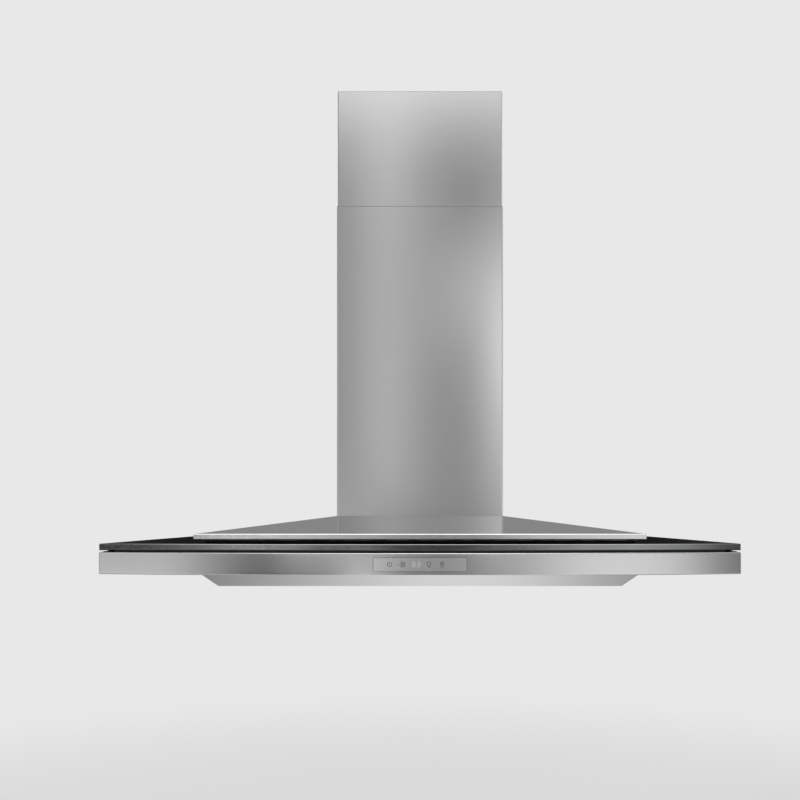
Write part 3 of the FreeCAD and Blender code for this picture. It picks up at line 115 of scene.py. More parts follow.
def grainedMetal(name, look):
    # Straight-grained metal: noise drawn out along the grain, which runs along the wall on front
    # and level faces and away from it on side faces; the gloss is smeared across the grain.
    material, tree, shader, where = startMaterial(
        name, {"Metallic": 1.0, "Anisotropic": look["smear"]}
    )
    across, along = 1 / (look["grain"] * metre), 1 / (look["run"] * metre)
    layers = []
    for scale in ((along, across, across), (across, along, across)):
        drawn = addNode(
            tree, "ShaderNodeMapping", {"Scale": scale}, {"Vector": where.outputs["Object"]}
        )
        layers.append(
            addNode(
                tree, "ShaderNodeTexNoise", {"Scale": 1.0, "Detail": 4.0, "Roughness": 0.65},
                {"Vector": drawn.outputs[0]},
            ).outputs[0]
        )
    grain = layers[1]
    if not look.get("acrossOnly"):
        way = addNode(
            tree, "ShaderNodeSeparateXYZ", None, {"Vector": where.outputs["Normal"]}
        )
        size = addNode(tree, "ShaderNodeMath", {"operation": "ABSOLUTE"}, {0: way.outputs[0]})
        side = addNode(
            tree, "ShaderNodeMath", {"operation": "GREATER_THAN", 1: 0.7}, {0: size.outputs[0]}
        )
        grain = addNode(
            tree, "ShaderNodeMix", None, {0: side.outputs[0], 2: layers[0], 3: layers[1]}
        ).outputs[0]
    cloud = addNode(
        tree, "ShaderNodeTexNoise", {"Scale": 1 / (look["cloud"] * metre), "Detail": 2.0},
        {"Vector": where.outputs["Object"]},
    ).outputs[0]
    low, high = look["roughness"]
    fine = addNode(tree, "ShaderNodeMapRange", {**noiseRange, 3: low, 4: high}, {0: grain})
    broad = addNode(
        tree, "ShaderNodeMapRange", {**noiseRange, 3: -look["smudge"], 4: look["smudge"]},
        {0: cloud},
    )
    rough = addNode(
        tree, "ShaderNodeMath", {"operation": "ADD"}, {0: fine.outputs[0], 1: broad.outputs[0]}
    )
    tree.links.new(rough.outputs[0], shader.inputs["Roughness"])
    x, y, z = (1.0, 0.0, 0.02) if look.get("acrossOnly") else (0.0, 0.02, 1.0)
    smearWay = addNode(tree, "ShaderNodeCombineXYZ", {0: x, 1: y, 2: z})
    tree.links.new(smearWay.outputs[0], shader.inputs["Tangent"])
    colourAndRelief(
        tree, shader, grain, look["light"], look["dark"], grain, look["bump"], look["depth"]
    )
    return material


def speckled(name, light, dark, roughness, speck, bump, depth, metallic=0.0, cells=False,
             sockets=None):
    # Moulded, coated, rolled or plated surfaces: noise of two scales, from the speck's size and
    # the bump's depth in millimetres, moves colour and gloss; cells gives crystals for the finer.
    values = {"Metallic": metallic, **(sockets or {})}
    material, tree, shader, where = startMaterial(name, values)
    scale = 1 / (speck * metre)
    if cells:
        source = addNode(
            tree, "ShaderNodeTexVoronoi", {"Scale": scale, "feature": "F1"},
            {"Vector": where.outputs["Object"]},
        )
        fine = addNode(
            tree, "ShaderNodeSeparateXYZ", None, {"Vector": source.outputs["Color"]}
        ).outputs[0]
    else:
        fine = addNode(
            tree, "ShaderNodeTexNoise", {"Scale": scale, "Detail": 3.0},
            {"Vector": where.outputs["Object"]},
        ).outputs[0]
    broad = addNode(
        tree, "ShaderNodeTexNoise", {"Scale": scale / 12, "Detail": 2.0},
        {"Vector": where.outputs["Object"]},
    ).outputs[0]
    low, high = roughness
    gloss = addNode(tree, "ShaderNodeMapRange", {**noiseRange, 3: low, 4: high}, {0: fine})
    tree.links.new(gloss.outputs[0], shader.inputs["Roughness"])
    colourAndRelief(tree, shader, broad, light, dark, fine, bump, depth)
    return material


# Finishes, one for each of the record's material slots: light and dark colour, range of roughness,
# speck, strength and depth of the bump.

brushedLook = {  # stainless sheet, number 4 finish: lights stretch into soft upright bands
    "light": "c8c8c8", "dark": "c2c2c2", "roughness": (0.16, 0.18), "smear": 0.6,
    "grain": 0.3, "run": 45, "cloud": 120, "smudge": 0.005, "bump": 0.02, "depth": 0.02,
}
baffleLook = {  # stainless filter sheet, brushed the length of the baffles
    **brushedLook, "acrossOnly": True, "roughness": (0.22, 0.3), "dark": "bcbcbc",
}

materials = {
    "brushed_steel": grainedMetal("brushedStainless", brushedLook),
    # hot-dip zinc: broad crystals, each with its own gloss
    "galvanised_steel": speckled(
        "galvanisedSheet", "b4b7b9", "9fa3a6", (0.3, 0.52), 9, 0.04, 0.1, metallic=1.0,
        cells=True,
    ),
    # tempered glass, black right through: a deep mirror with hardly any texture
    "black_glass": speckled(
        "blackTemperedGlass", "070708", "050506", (0.02, 0.045), 40, 0.01, 0.05,
        sockets={"IOR": 1.52},
    ),
    # silvered window over the touch keys, brushed like the band but without its lines
    "touch_glass": grainedMetal("touchWindowSilvered", {
        **brushedLook, "light": "d6d6d6", "dark": "d4d4d4", "roughness": (0.2, 0.21),
        "bump": 0.0,
    }),
    # EPDM: near black and dull
    "rubber": speckled("mouldedRubber", "26262a", "1d1d20", (0.62, 0.78), 1.5, 0.2, 0.05),
    # glass-filled nylon: fine moulded pebble
    "black_plastic": speckled("blackNylon", "202123", "17181a", (0.42, 0.55), 0.8, 0.15, 0.05),
    # moulded ABS, sparked mould face
    "grey_plastic": speckled("greyAbs", "8b8e90", "808385", (0.4, 0.52), 0.8, 0.12, 0.05),
    # smooth and slightly glossy
    "white_plastic": speckled(
        "whitePolycarbonate", "e4e3df", "d9d8d4", (0.3, 0.4), 1.2, 0.06, 0.04,
    ),
    # FR4 with green solder mask
    "circuit_board": speckled("glassEpoxyBoard", "1f5b3a", "174a2f", (0.28, 0.4), 1.0, 0.08, 0.04),
    # carbon-filled foam: open and dull
    "conductive_foam": speckled("conductiveFoam", "3b3b3d", "2a2a2c", (0.8, 0.95), 0.6, 0.5, 0.2),
    # tinted resin over unlit segments
    "dark_display": speckled("unlitDisplay", "1b1c1f", "131417", (0.12, 0.2), 4, 0.02, 0.02),
    # enamelled and baked steel: slight orange peel
    "enamelled_steel": speckled(
        "bakedEnamelSteel", "3a3d40", "323538", (0.28, 0.38), 1.6, 0.1, 0.05,
    ),
    # turned and ground: bright, faint marks
    "bright_steel": speckled(
        "groundSteel", "c4c4c2", "b2b2b0", (0.16, 0.26), 1.5, 0.04, 0.03, metallic=1.0,
    ),
    # hard rolled strip, bluish
    "spring_steel": speckled(
        "springSteelStrip", "9a9da3", "8a8d93", (0.2, 0.3), 3, 0.03, 0.03, metallic=1.0,
    ),
    # plated bezel: clean, pale, almost a mirror
    "chrome": speckled(
        "satinChrome", "d2d3d4", "c8c9ca", (0.1, 0.16), 12, 0.01, 0.02, metallic=1.0,
    ),
    # frosted diffuser: milky, light sinks in
    "opal_lens": speckled(
        "opalPolycarbonate", "f0efe9", "e6e5de", (0.38, 0.5), 0.7, 0.08, 0.04,
        sockets={"Subsurface Weight": 0.4, "Subsurface Scale": 0.004, "IOR": 1.58},
    ),
    # cast heat sink: matt, grainy
    "lamp_aluminium": speckled(
        "castAluminium", "b3b4b6", "a1a2a4", (0.42, 0.58), 0.9, 0.2, 0.08, metallic=1.0,
    ),
}
baffleSteel = grainedMetal("brushedFilterSheet", baffleLook)
# the bend's outside: stretched smooth, so glossier, and a lighter colour that is a painted
# highlight along the bend
foldHighlightSteel = speckled("burnishedFold", "dcdcdc", "d2d2d2", (0.14, 0.2), 6, 0.01, 0.02, metallic=1.0)
# the sheet's cut edge and the stepped-in strip under it: rough and dark; the dark is painted shade
# along the seam between the covers
cutEdgeAndSeamShade = speckled("shearedEdge", "5a5a5b", "454546", (0.45, 0.6), 0.8, 0.15, 0.03, metallic=1.0)
# ground and polished rim: silvery, lights in it
glassEdge = speckled(
    "polishedGlassEdge", "8e8f90", "888989", (0.07, 0.1), 4, 0.01, 0.02, metallic=1.0,
)
# dark grey ink, a little raised
symbolInk = speckled("screenPrintedInk", "3a3a3a", "323232", (0.5, 0.6), 0.5, 0.05, 0.01)
# the display's segments, seen through the window
displayInk = speckled("unlitSegmentInk", "b6b6b4", "aeaeac", (0.45, 0.55), 0.5, 0.02, 0.01)
print("finishes:", len(bpy.data.materials))


# Mesh helpers.


smoothLimit = 32  # folds sharper than this, in degrees, stay sharp


def addObject(name, data):
    # A new object in the scene, at the origin.
    thing = bpy.data.objects.new(name, data)
    bpy.context.scene.collection.objects.link(thing)
    return thing


def gridFaces(rows, columns, rowsClosed=False, columnsClosed=False):
    # The quads of a grid of points that runs row by row.
    row, column = np.meshgrid(
        np.arange(rows if rowsClosed else rows - 1),
        np.arange(columns if columnsClosed else columns - 1),
        indexing="ij",
    )
    below, right = (row + 1) % rows, (column + 1) % columns
    corners = [row * columns + column, row * columns + right, below * columns + right,
               below * columns + column]
    return np.stack(corners, axis=-1).reshape(-1, 4)


def endCaps(rows, columns):
    # The two faces that close the ends of a closed section carried along a path.
    return [[row * columns + end for row in range(rows)] for end in (0, columns - 1)]


def addFinishes(piece, finishes, index):
    # Gives a piece its finishes, and each face the one that its number in the index names.
    for finish in finishes:
        piece.data.materials.append(finish)
    piece.data.polygons.foreach_set("material_index", np.asarray(index, np.int32))


def tiltAndHeight(piece):
    # How level each face lies, from 0 for upright to 1, and its height in millimetres.
    faces = piece.data.polygons
    normals, centres = np.empty(len(faces) * 3), np.empty(len(faces) * 3)
    faces.foreach_get("normal", normals)
    faces.foreach_get("center", centres)
    return np.abs(normals[2::3]), centres[2::3] / metre


def finishPiece(piece, body, material, node=None):
    # Puts a finished mesh on its body, with its finish and the CAD node that it stands for.
    if not piece.data.materials:
        piece.data.materials.append(material)
    smooth = piece.modifiers.new("evenNormals", "WEIGHTED_NORMAL")
    smooth.keep_sharp = True
    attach(piece, body)
    if node:
        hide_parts(node)
        replaced.add(node)
    return piece


def shadeByAngle(mesh):
    # Smooth shading that breaks at the sharp folds.
    mesh.shade_smooth()
    mesh.set_sharp_from_angle(angle=math.radians(smoothLimit))


def pieceFromPoints(name, points, faces, closed=True):
    # A new object from points in millimetres; a closed shell gets its faces turned outwards.
    mesh = bpy.data.meshes.new(name)
    mesh.from_pydata((points.reshape(-1, 3) * metre).tolist(), [], [list(f) for f in faces])
    if closed:
        shell = bmesh.new()
        shell.from_mesh(mesh)
        bmesh.ops.recalc_face_normals(shell, faces=shell.faces)
        shell.to_mesh(mesh)
        shell.free()
    shadeByAngle(mesh)
    return addObject(name, mesh)


def roundedPath(corners, radii, steps=6):
    # A plan path through its corners, each turned by an arc of the given radius (0 keeps it sharp).
    corners = np.array(corners, float)
    runs = []
    for index, radius in enumerate(radii):
        here = corners[index]
        if index in (0, len(radii) - 1) or radius == 0:
            runs.append(here[None])
            continue
        before = corners[index - 1] - here
        after = corners[index + 1] - here
        before, after = before / np.linalg.norm(before), after / np.linalg.norm(after)
        half = math.acos(np.clip(before @ after, -1, 1)) / 2
        centre = here + (before + after) / np.linalg.norm(before + after) * radius / math.sin(half)
        start = here + before * radius / math.tan(half) - centre
        end = here + after * radius / math.tan(half) - centre
        share = np.linspace(0, 1, steps + 1)[:, None]
        angle = math.pi - 2 * half
        arc = (np.sin((1 - share) * angle) * start + np.sin(share * angle) * end) / math.sin(angle)
        runs.append(centre + arc)
    return np.concatenate(runs)


def camel(name):
    # A node's name as a piece's: inner_frame gives innerFrame.
    first, *rest = name.split("_")
    return first + "".join(word.capitalize() for word in rest)


refined = {  # millimetres and degrees
    "weld": 0.001, "flat": 0.4, "shortest": 6, "turn": 6, "foldLength": 12, "foldWidth": 3.0,
    "rim": 0.12, "steps": 4,
}


def refinedCopy(node, bend, material):
    # A welded copy of a CAD node: folds between wide faces get the sheet's bend radius, other
    # long edges a small break, and round faces are shaded smooth.
    mesh = nodes[node].data.copy()
    mesh.name = camel(node)
    shell = bmesh.new()
    shell.from_mesh(mesh)
    bmesh.ops.remove_doubles(shell, verts=shell.verts, dist=refined["weld"] * metre)
    bmesh.ops.dissolve_limit(
        shell, angle_limit=math.radians(refined["flat"]), verts=shell.verts, edges=shell.edges,
        delimit={"NORMAL"},
    )
    if bend:
        # A rim with inward corners is cut up first, so that its bevel can't turn it over.
        rims = [f for f in shell.faces if not all(corner.is_convex for corner in f.loops)]
        bmesh.ops.triangulate(shell, faces=rims)
        weight = shell.edges.layers.float.new("bevel_weight_edge")
        for edge in shell.edges:
            if len(edge.link_faces) != 2:
                continue
            length = edge.calc_length() / metre
            turn = math.degrees(edge.calc_face_angle(0))
            if length < refined["shortest"] or turn < refined["turn"] or not edge.is_convex:
                continue
            width = min(face.calc_area() / metre / metre / length for face in edge.link_faces)
            isFold = width > refined["foldWidth"] and length > refined["foldLength"]
            edge[weight] = 1.0 if isFold else refined["rim"] / bend
    shell.to_mesh(mesh)
    shell.free()
    shadeByAngle(mesh)
    piece = addObject(camel(node), mesh)
    piece.data.materials.clear()
    piece.data.materials.append(material or materials[slotOf[node]])
    if bend:
        soft = piece.modifiers.new("folds", "BEVEL")
        soft.limit_method = "WEIGHT"
        soft.width = bend * metre
        soft.segments = refined["steps"]
        soft.harden_normals = False
        # brushed steel's bevels take the fold finish, whose lighter colour is a painted highlight
        # on the bends
        if slotOf[node] == "brushed_steel":
            piece.data.materials.append(foldHighlightSteel)
            soft.material = 1
    return finishPiece(piece, bodyOf[node], None, node)


# The hood's outline, as seen from above.

hood = {
    "halfWidth": 450, "sideDepth": 500, "bow": 38, "rear": -1.8, "windowHalf": 63.8,
    "cornerSteps": 6, "sidePoints": 70, "windowPoints": 31,  # points on each stretch of the front
}
frontRadius = (hood["halfWidth"] ** 2 + hood["bow"] ** 2) / (2 * hood["bow"])
frontCentre = frontRadius - hood["sideDepth"] - hood["bow"]


def bowY(x, inset):
    # The front's depth at x: one arc, moved in by the inset.
    return frontCentre - np.sqrt((frontRadius - inset) ** 2 - np.asarray(x, float) ** 2)


def hoodPath(inset, corner, back):
    # The outline moved in by the inset, from the left wall end round to the right one: a straight
    # side, a corner arc, and the bow as one long arc, with a column at each window edge.
    radius = frontRadius - inset
    sideX = hood["halfWidth"] - inset
    cornerX = sideX - corner
    cornerY = frontCentre - math.sqrt((radius - corner) ** 2 - cornerX**2)
    end = math.atan2(cornerX, frontCentre - cornerY)
    window = math.asin(hood["windowHalf"] / frontRadius)
    across = np.concatenate([
        np.linspace(-end, -window, hood["sidePoints"]),
        np.linspace(-window, window, hood["windowPoints"])[1:-1],
        np.linspace(window, end, hood["sidePoints"]),
    ])
    bow = np.stack([radius * np.sin(across), frontCentre - radius * np.cos(across)], axis=1)
    sweep = np.linspace(math.pi / 2, end, hood["cornerSteps"] + 1)[:-1]
    arc = np.stack([cornerX + corner * np.sin(sweep), cornerY - corner * np.cos(sweep)], axis=1)
    right = np.concatenate([[[sideX, back]], arc])
    left = right * (-1, 1)
    return np.concatenate([left, bow, right[::-1]])


# The path's columns at the window's two edges.
windowStart = hood["cornerSteps"] + hood["sidePoints"]
windowColumns = (windowStart, windowStart + hood["windowPoints"] - 1)


def stackRows(rows):
    # Plan paths with their heights, as one grid of points.
    return np.stack([np.column_stack([path, np.full(len(path), z)]) for path, z in rows])


# The canopy band: a folded C of sheet that follows the outline.

band = {
    "bend": 1.6, "sheet": 1.0, "lip": 16, "corner": 1.6, "leastCorner": 0.25, "windowHigh": 18.6,
    "upright": 0.05, "level": 0.999,  # a fold's faces lie between these
}


def makeBand():
    # The sheet's section, an outer and an inner path with a bend at each lip, carried round the
    # outline; the faces between the window's columns are left out and the opening's sides closed.
    low, high = (corner[2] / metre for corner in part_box("canopy_band"))
    bend, sheet, lip = band["bend"], band["sheet"], band["lip"]
    middle = (low + high) / 2
    windowLow, windowHigh = middle - band["windowHigh"] / 2, middle + band["windowHigh"] / 2
    lower, upper = low + sheet, high - sheet
    outer = np.concatenate([
        roundedPath([(lip, high), (0, high), (0, windowHigh)], [0, bend, 0]),
        roundedPath([(0, windowLow), (0, low), (lip, low)], [0, bend, 0]),
    ])
    inner = np.concatenate([
        roundedPath([(lip, lower), (sheet, lower), (sheet, windowLow)], [0, bend - sheet, 0]),
        roundedPath([(sheet, windowHigh), (sheet, upper), (lip, upper)], [0, bend - sheet, 0]),
    ])
    rows = [
        (hoodPath(inset, max(band["corner"] - inset, band["leastCorner"]), 0.0), z)
        for inset, z in np.concatenate([outer, inner])
    ]
    points = stackRows(rows)
    count, columns = points.shape[:2]
    faces = gridFaces(count, columns, rowsClosed=True)
    left, right = windowColumns
    outerTop, innerLow = len(outer) // 2 - 1, len(outer) + len(inner) // 2 - 1
    cut = np.zeros((count, columns - 1), bool)
    cut[[outerTop, innerLow], left:right] = True
    faces = faces[~cut.reshape(-1)]
    outerLow, innerTop = outerTop + 1, innerLow + 1
    span = np.arange(left, right)
    top = [outerTop * columns + span, outerTop * columns + span + 1,
           innerTop * columns + span + 1, innerTop * columns + span]
    bottom = [outerLow * columns + span, outerLow * columns + span + 1,
              innerLow * columns + span + 1, innerLow * columns + span]
    ends = [[outerTop * columns + c, outerLow * columns + c, innerLow * columns + c,
             innerTop * columns + c] for c in (left, right)]
    everyFace = [*faces.tolist(), *np.stack(top, 1).tolist(), *np.stack(bottom, 1).tolist(),
                 *ends, *endCaps(count, columns)]
    piece = pieceFromPoints("canopyBand", points, everyFace)
    tilt, height = tiltAndHeight(piece)
    nearFold = (height < low + bend) | (height > high - bend)
    isFold = (tilt > band["upright"]) & (tilt < band["level"]) & nearFold
    # the folds take the fold finish, whose lighter colour paints a highlight along the band's top
    # and bottom bends
    addFinishes(piece, (materials["brushed_steel"], foldHighlightSteel), isFold)
    finishPiece(piece, "hood", None, "canopy_band")


makeBand()


# The black glass: a plate with ground edges, notched at the wall for the frame.

glass = {
    "inset": 0.2, "arris": 0.5, "corner": 2.0, "notchHalf": 300, "notchFront": -430,
    "notchCorner": 2.0,
}


def notchPath(columns):
    # The notch's three sides with their rounded corners, with one point for each column of the
    # outline: what the sides and corners don't need is spaced evenly along the notch's front.
    half, front, corner = glass["notchHalf"], glass["notchFront"], glass["notchCorner"]
    ends = 1 + hood["cornerSteps"]
    path = roundedPath(
        [(-half, hood["rear"]), (-half, front), (half, front), (half, hood["rear"])],
        [0, corner, corner, 0], hood["cornerSteps"],
    )
    x = np.linspace(-(half - corner), half - corner, columns - 2 * ends)
    return np.concatenate([path[:ends], np.column_stack([x, np.full(len(x), front)]), path[-ends:]])


def makeGlass():
    # A ring of six paths, from the notch over the top face, round the edge with its two small
    # slopes, and back under the plate.
    low, high = (corner[2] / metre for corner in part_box("glass_canopy"))
    inset, arris, corner = glass["inset"], glass["arris"], glass["corner"]
    edge = hoodPath(inset, corner, hood["rear"])
    face = hoodPath(inset + arris, corner - arris, hood["rear"])
    notch = notchPath(len(edge))
    rows = [(notch, low), (notch, high), (face, high), (edge, high - arris),
            (edge, low + arris), (face, low)]
    points = stackRows(rows)
    count, columns = points.shape[:2]
    faces = gridFaces(count, columns, rowsClosed=True).tolist()
    piece = pieceFromPoints("glassCanopy", points, faces + endCaps(count, columns))
    finish = np.zeros(len(piece.data.polygons))
    finish[2 * (columns - 1) : 5 * (columns - 1)] = 1  # the edge and its slopes
    addFinishes(piece, (materials["black_glass"], glassEdge), finish)
    finishPiece(piece, "hood", None, "glass_canopy")


makeGlass()
print("band and glass done")


# The chimney covers: folded sheet with round front bends and lips at the wall.

chimney = {
    "sheet": 1.0, "lip": 12, "frontBend": 2.5, "wallBend": 1.5, "burr": 0.9, "stepIn": 0.72,
    "slant": 1e-4,  # a stretch of the path that runs this far both ways is part of a bend
}


def makeChimney(node):
    # The sheet's plan, an outer path round to the wall lips and an inner one back, carried up
    # through three heights, with a strip between the two paths at each end.
    low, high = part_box(node)
    half, front, wall = high[0] / metre, low[1] / metre, high[1] / metre
    sheet, lip = chimney["sheet"], chimney["lip"]
    bends = [0, chimney["wallBend"], chimney["frontBend"]]
    outer = roundedPath(
        [(-(half - lip), wall), (-half, wall), (-half, front), (half, front), (half, wall),
         (half - lip, wall)],
        [*bends, *reversed(bends)],
    )
    slim = [max(b - sheet, 0) for b in bends]
    clear = half - sheet
    inner = roundedPath(
        [(-(half - lip), wall - sheet), (-clear, wall - sheet), (-clear, front + sheet),
         (clear, front + sheet), (clear, wall - sheet), (half - lip, wall - sheet)],
        [*slim, *reversed(slim)],
    )
    # The burr of the cut top edge is taken off: the outside steps in over its height.
    eased = outer + (inner - outer) * chimney["stepIn"]
    loop, topLoop = (np.concatenate([side, inner[::-1]]) for side in (outer, eased))
    bottom, top = low[2] / metre, high[2] / metre
    points = stackRows([(loop, bottom), (loop, top - chimney["burr"]), (topLoop, top)])
    walls = gridFaces(3, len(loop), columnsClosed=True)
    along, last = np.arange(len(outer) - 1), len(loop) - 1
    strip = np.column_stack([along, along + 1, last - 1 - along, last - along])
    faces = np.concatenate([walls, strip, strip + 2 * len(loop)])
    piece = pieceFromPoints(camel(node), points, faces.tolist())
    finish = np.zeros(len(faces))
    # the bends take the fold finish: a painted highlight down the chimney's front edges
    finish[along] = np.abs(np.diff(outer, axis=0)).min(axis=1) > chimney["slant"]  # the bends
    # the stepped-in strip and the cut top edge: dark, painted shade along the seam between the
    # covers
    finish[len(loop) + along] = 2
    finish[len(walls) + len(strip) :] = 2
    addFinishes(piece, (materials["brushed_steel"], foldHighlightSteel, cutEdgeAndSeamShade), finish)
    finishPiece(piece, bodyOf[node], None, node)


for node in ("lower_chimney", "upper_chimney"):
    makeChimney(node)
print("chimney done")


# The touch window and its printed symbols.

window = {
    "halfWidth": 63.5, "inset": 0.4, "thick": 1.5, "columns": 61,
    "edge": 0.25, "edgeSteps": 2, "edgeTurn": 50,
}
symbols = {
    "power": -41.5, "fan": -23.5, "display": -5.0, "bulb": 12.2, "timer": 29.9,  # across
    "line": 0.75, "thin": 0.6, "round": 359.9, "ink": 0.05, "lift": 0.01,
}
leaf = {"count": 5, "root": 1.3, "reach": 4.6, "thick": 1.7, "curl": 0.9, "end": 0.03, "full": 0.7}
digit = {"apart": 3.4, "half": 1.9, "bar": 1.4, "rise": 3.2, "upright": 1.2}


def makeTouchWindow():
    # A rectangle, carried along the bow's arc.
    low, high = (corner[2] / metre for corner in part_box("touch_fascia"))
    front, columns = window["inset"], window["columns"]
    back = front + window["thick"]
    x = np.linspace(-window["halfWidth"], window["halfWidth"], columns)
    section = [(front, high), (front, low), (back, low), (back, high)]
    points = stackRows([(np.column_stack([x, bowY(x, inset)]), z) for inset, z in section])
    faces = gridFaces(len(section), columns, rowsClosed=True).tolist()
    piece = pieceFromPoints("touchFascia", points, faces + endCaps(len(section), columns))
    soft = piece.modifiers.new("edge", "BEVEL")
    soft.width, soft.segments = window["edge"] * metre, window["edgeSteps"]
    soft.angle_limit = math.radians(window["edgeTurn"])
    finishPiece(piece, "hood", materials["touch_glass"], "touch_fascia")
    return (low + high) / 2


def arcStroke(x, z, radius, start, end, width=None, steps=40):
    # A ribbon of even width along an arc, angles in degrees from the right, anticlockwise.
    width = width or symbols["line"]
    angle = np.radians(np.linspace(start, end, steps))
    return np.stack([
        np.column_stack([x + rib * np.cos(angle), z + rib * np.sin(angle)])
        for rib in (radius - width / 2, radius + width / 2)
    ])


def lineStroke(x0, z0, x1, z1, width=None):
    # A straight ribbon: both ends, moved half the width to either side.
    width = width or symbols["line"]
    along = np.array([x1 - x0, z1 - z0], float)
    side = np.array([-along[1], along[0]]) / np.linalg.norm(along) * width / 2
    ends = np.array([[x0, z0], [x1, z1]], float)
    return np.stack([ends - side, ends + side])


def leafStroke(turn, steps=24):
    # A fan blade: a leaf whose middle line curls as it leaves the hub, its width a rounded sine.
    share = np.linspace(0.0, 1.0, steps)
    radius = leaf["root"] + share * (leaf["reach"] - leaf["root"])
    middle = np.radians(turn) + share * leaf["curl"]
    along = share * (1 - 2 * leaf["end"]) + leaf["end"]
    half = leaf["thick"] * np.sin(np.pi * along) ** leaf["full"] / 2
    return np.stack([
        np.column_stack([radius * np.cos(middle + way * half / radius),
                         radius * np.sin(middle + way * half / radius)])
        for way in (-1, 1)
    ])


def symbolStrokes():
    # Power: an open ring and a bar. Fan: leaves and a hub. Lamp: a bulb with its neck and two
    # lines. Timer: a clock with two hands over a line. Heights are from the window's middle.
    power, fan, bulb, timer = (symbols[sign] for sign in ("power", "fan", "bulb", "timer"))
    thin, whole = symbols["thin"], symbols["round"]
    return [
        arcStroke(power, 0, 2.8, 125, 415), lineStroke(power, 0.4, power, 3.9, 0.9),
        *[leafStroke(k * 360 / leaf["count"]) + (fan, 0) for k in range(leaf["count"])],
        arcStroke(fan, 0, 0.35, 0, whole, 0.7),
        arcStroke(bulb, 1.2, 2.35, -50, 230),
        lineStroke(bulb - 1.15, -2.4, bulb + 1.15, -2.4),
        lineStroke(bulb - 0.8, -3.6, bulb + 0.8, -3.6),
        lineStroke(bulb - 1.5, -0.6, bulb - 1.1, -2.1),
        lineStroke(bulb + 1.5, -0.6, bulb + 1.1, -2.1),
        arcStroke(timer, 0.9, 2.3, 0, whole),
        lineStroke(timer, 0.9, timer, 2.4, thin),
        lineStroke(timer, 0.9, timer + 1.2, 0.9, thin),
        lineStroke(timer - 2.6, -3.4, timer + 2.6, -3.4),
    ]


def displayStrokes():
    # Two unlit digits of seven segments each: three level bars, then the four upright ones.
    bar, half, rise, thin = digit["bar"], digit["half"], digit["rise"], symbols["thin"]
    strokes = []
    for x in (symbols["display"] - digit["apart"], symbols["display"] + digit["apart"]):
        strokes += [lineStroke(x - bar, z, x + bar, z, thin) for z in (rise, 0, -rise)]
        strokes += [
            lineStroke(x + side, z - digit["upright"], x + side, z + digit["upright"], thin)
            for side in (-half, half) for z in (rise / 2, -rise / 2)
        ]
    return strokes


def makePrint(name, strokes, middle, material):
    # Ribbons laid on the window's face, then given the ink's thickness.
    points, faces, base = [], [], 0
    for stroke in strokes:
        rows, columns = stroke.shape[:2]
        flat = stroke.reshape(-1, 2)
        y = bowY(flat[:, 0], window["inset"]) - symbols["lift"]
        points.append(np.column_stack([flat[:, 0], y, middle + flat[:, 1]]))
        faces.extend((gridFaces(rows, columns) + base).tolist())
        base += rows * columns
    piece = pieceFromPoints(name, np.concatenate(points), faces, closed=False)
    shell = bmesh.new()
    shell.from_mesh(piece.data)
    turned = [face for face in shell.faces if face.normal.y > 0]
    bmesh.ops.reverse_faces(shell, faces=turned)
    shell.to_mesh(piece.data)
    shell.free()
    thick = piece.modifiers.new("ink", "SOLIDIFY")
    thick.thickness, thick.offset = symbols["ink"] * metre, 1.0
    finishPiece(piece, "hood", material)


middleZ = makeTouchWindow()
makePrint("touchSymbols", symbolStrokes(), middleZ, symbolInk)
makePrint("levelDigits", displayStrokes(), middleZ, displayInk)
print("touch window done")


# The lamps: turned bezels and frosted lenses.

lamp = {
    "x": 180, "y": -422, "face": -232, "segments": 96,
    "bezel": 27, "lip": 1.0, "sleeve": 7, "sleeveWall": 1.5, "rounds": (0, 0.3, 0.2, 0.7, 0.4, 0),
    "lens": 21.5, "gap": 0.2, "lensThick": 2.0, "rim": 0.6, "rings": 33,
    "dish": 0.6, "dishRise": 0.3, "ripple": 0.06, "halfRing": 1.5, "play": 0.1,
}


def lathe(profile, centre, segments):
    # A closed profile of (radius, height) turned about the upright axis through the centre.
    angle = np.linspace(0, 2 * np.pi, segments, endpoint=False)
    radius, height = np.asarray(profile, float).T
    x = centre[0] + np.outer(radius, np.cos(angle))
    y = centre[1] + np.outer(radius, np.sin(angle))
    z = centre[2] + np.outer(height, np.ones(segments))
    return np.stack([x, y, z], axis=-1)


def latheDisc(profile, centre, segments):
    # The same, for a profile that starts and ends on the axis: its poles are single points.
    grid = lathe(profile[1:-1], centre, segments)
    rows = len(profile) - 2
    poles = [[centre[0], centre[1], centre[2] + profile[end][1]] for end in (0, -1)]
    points = np.concatenate([grid.reshape(-1, 3), poles])
    faces = gridFaces(rows, segments, columnsClosed=True).tolist()
    step = np.arange(segments)
    after = (step + 1) % segments
    last = (rows - 1) * segments
    fans = [np.stack([step, after, np.full(segments, rows * segments)], 1)]
    fans.append(np.stack([last + after, last + step, np.full(segments, rows * segments + 1)], 1))
    return points, faces + np.concatenate(fans).tolist()


def joined(name, parts):
    # Several shells as one object.
    points, faces, base = [], [], 0
    for shellPoints, shellFaces in parts:
        flat = np.asarray(shellPoints).reshape(-1, 3)
        points.append(flat)
        faces += [[index + base for index in face] for face in shellFaces]
        base += len(flat)
    return pieceFromPoints(name, np.concatenate(points), faces)


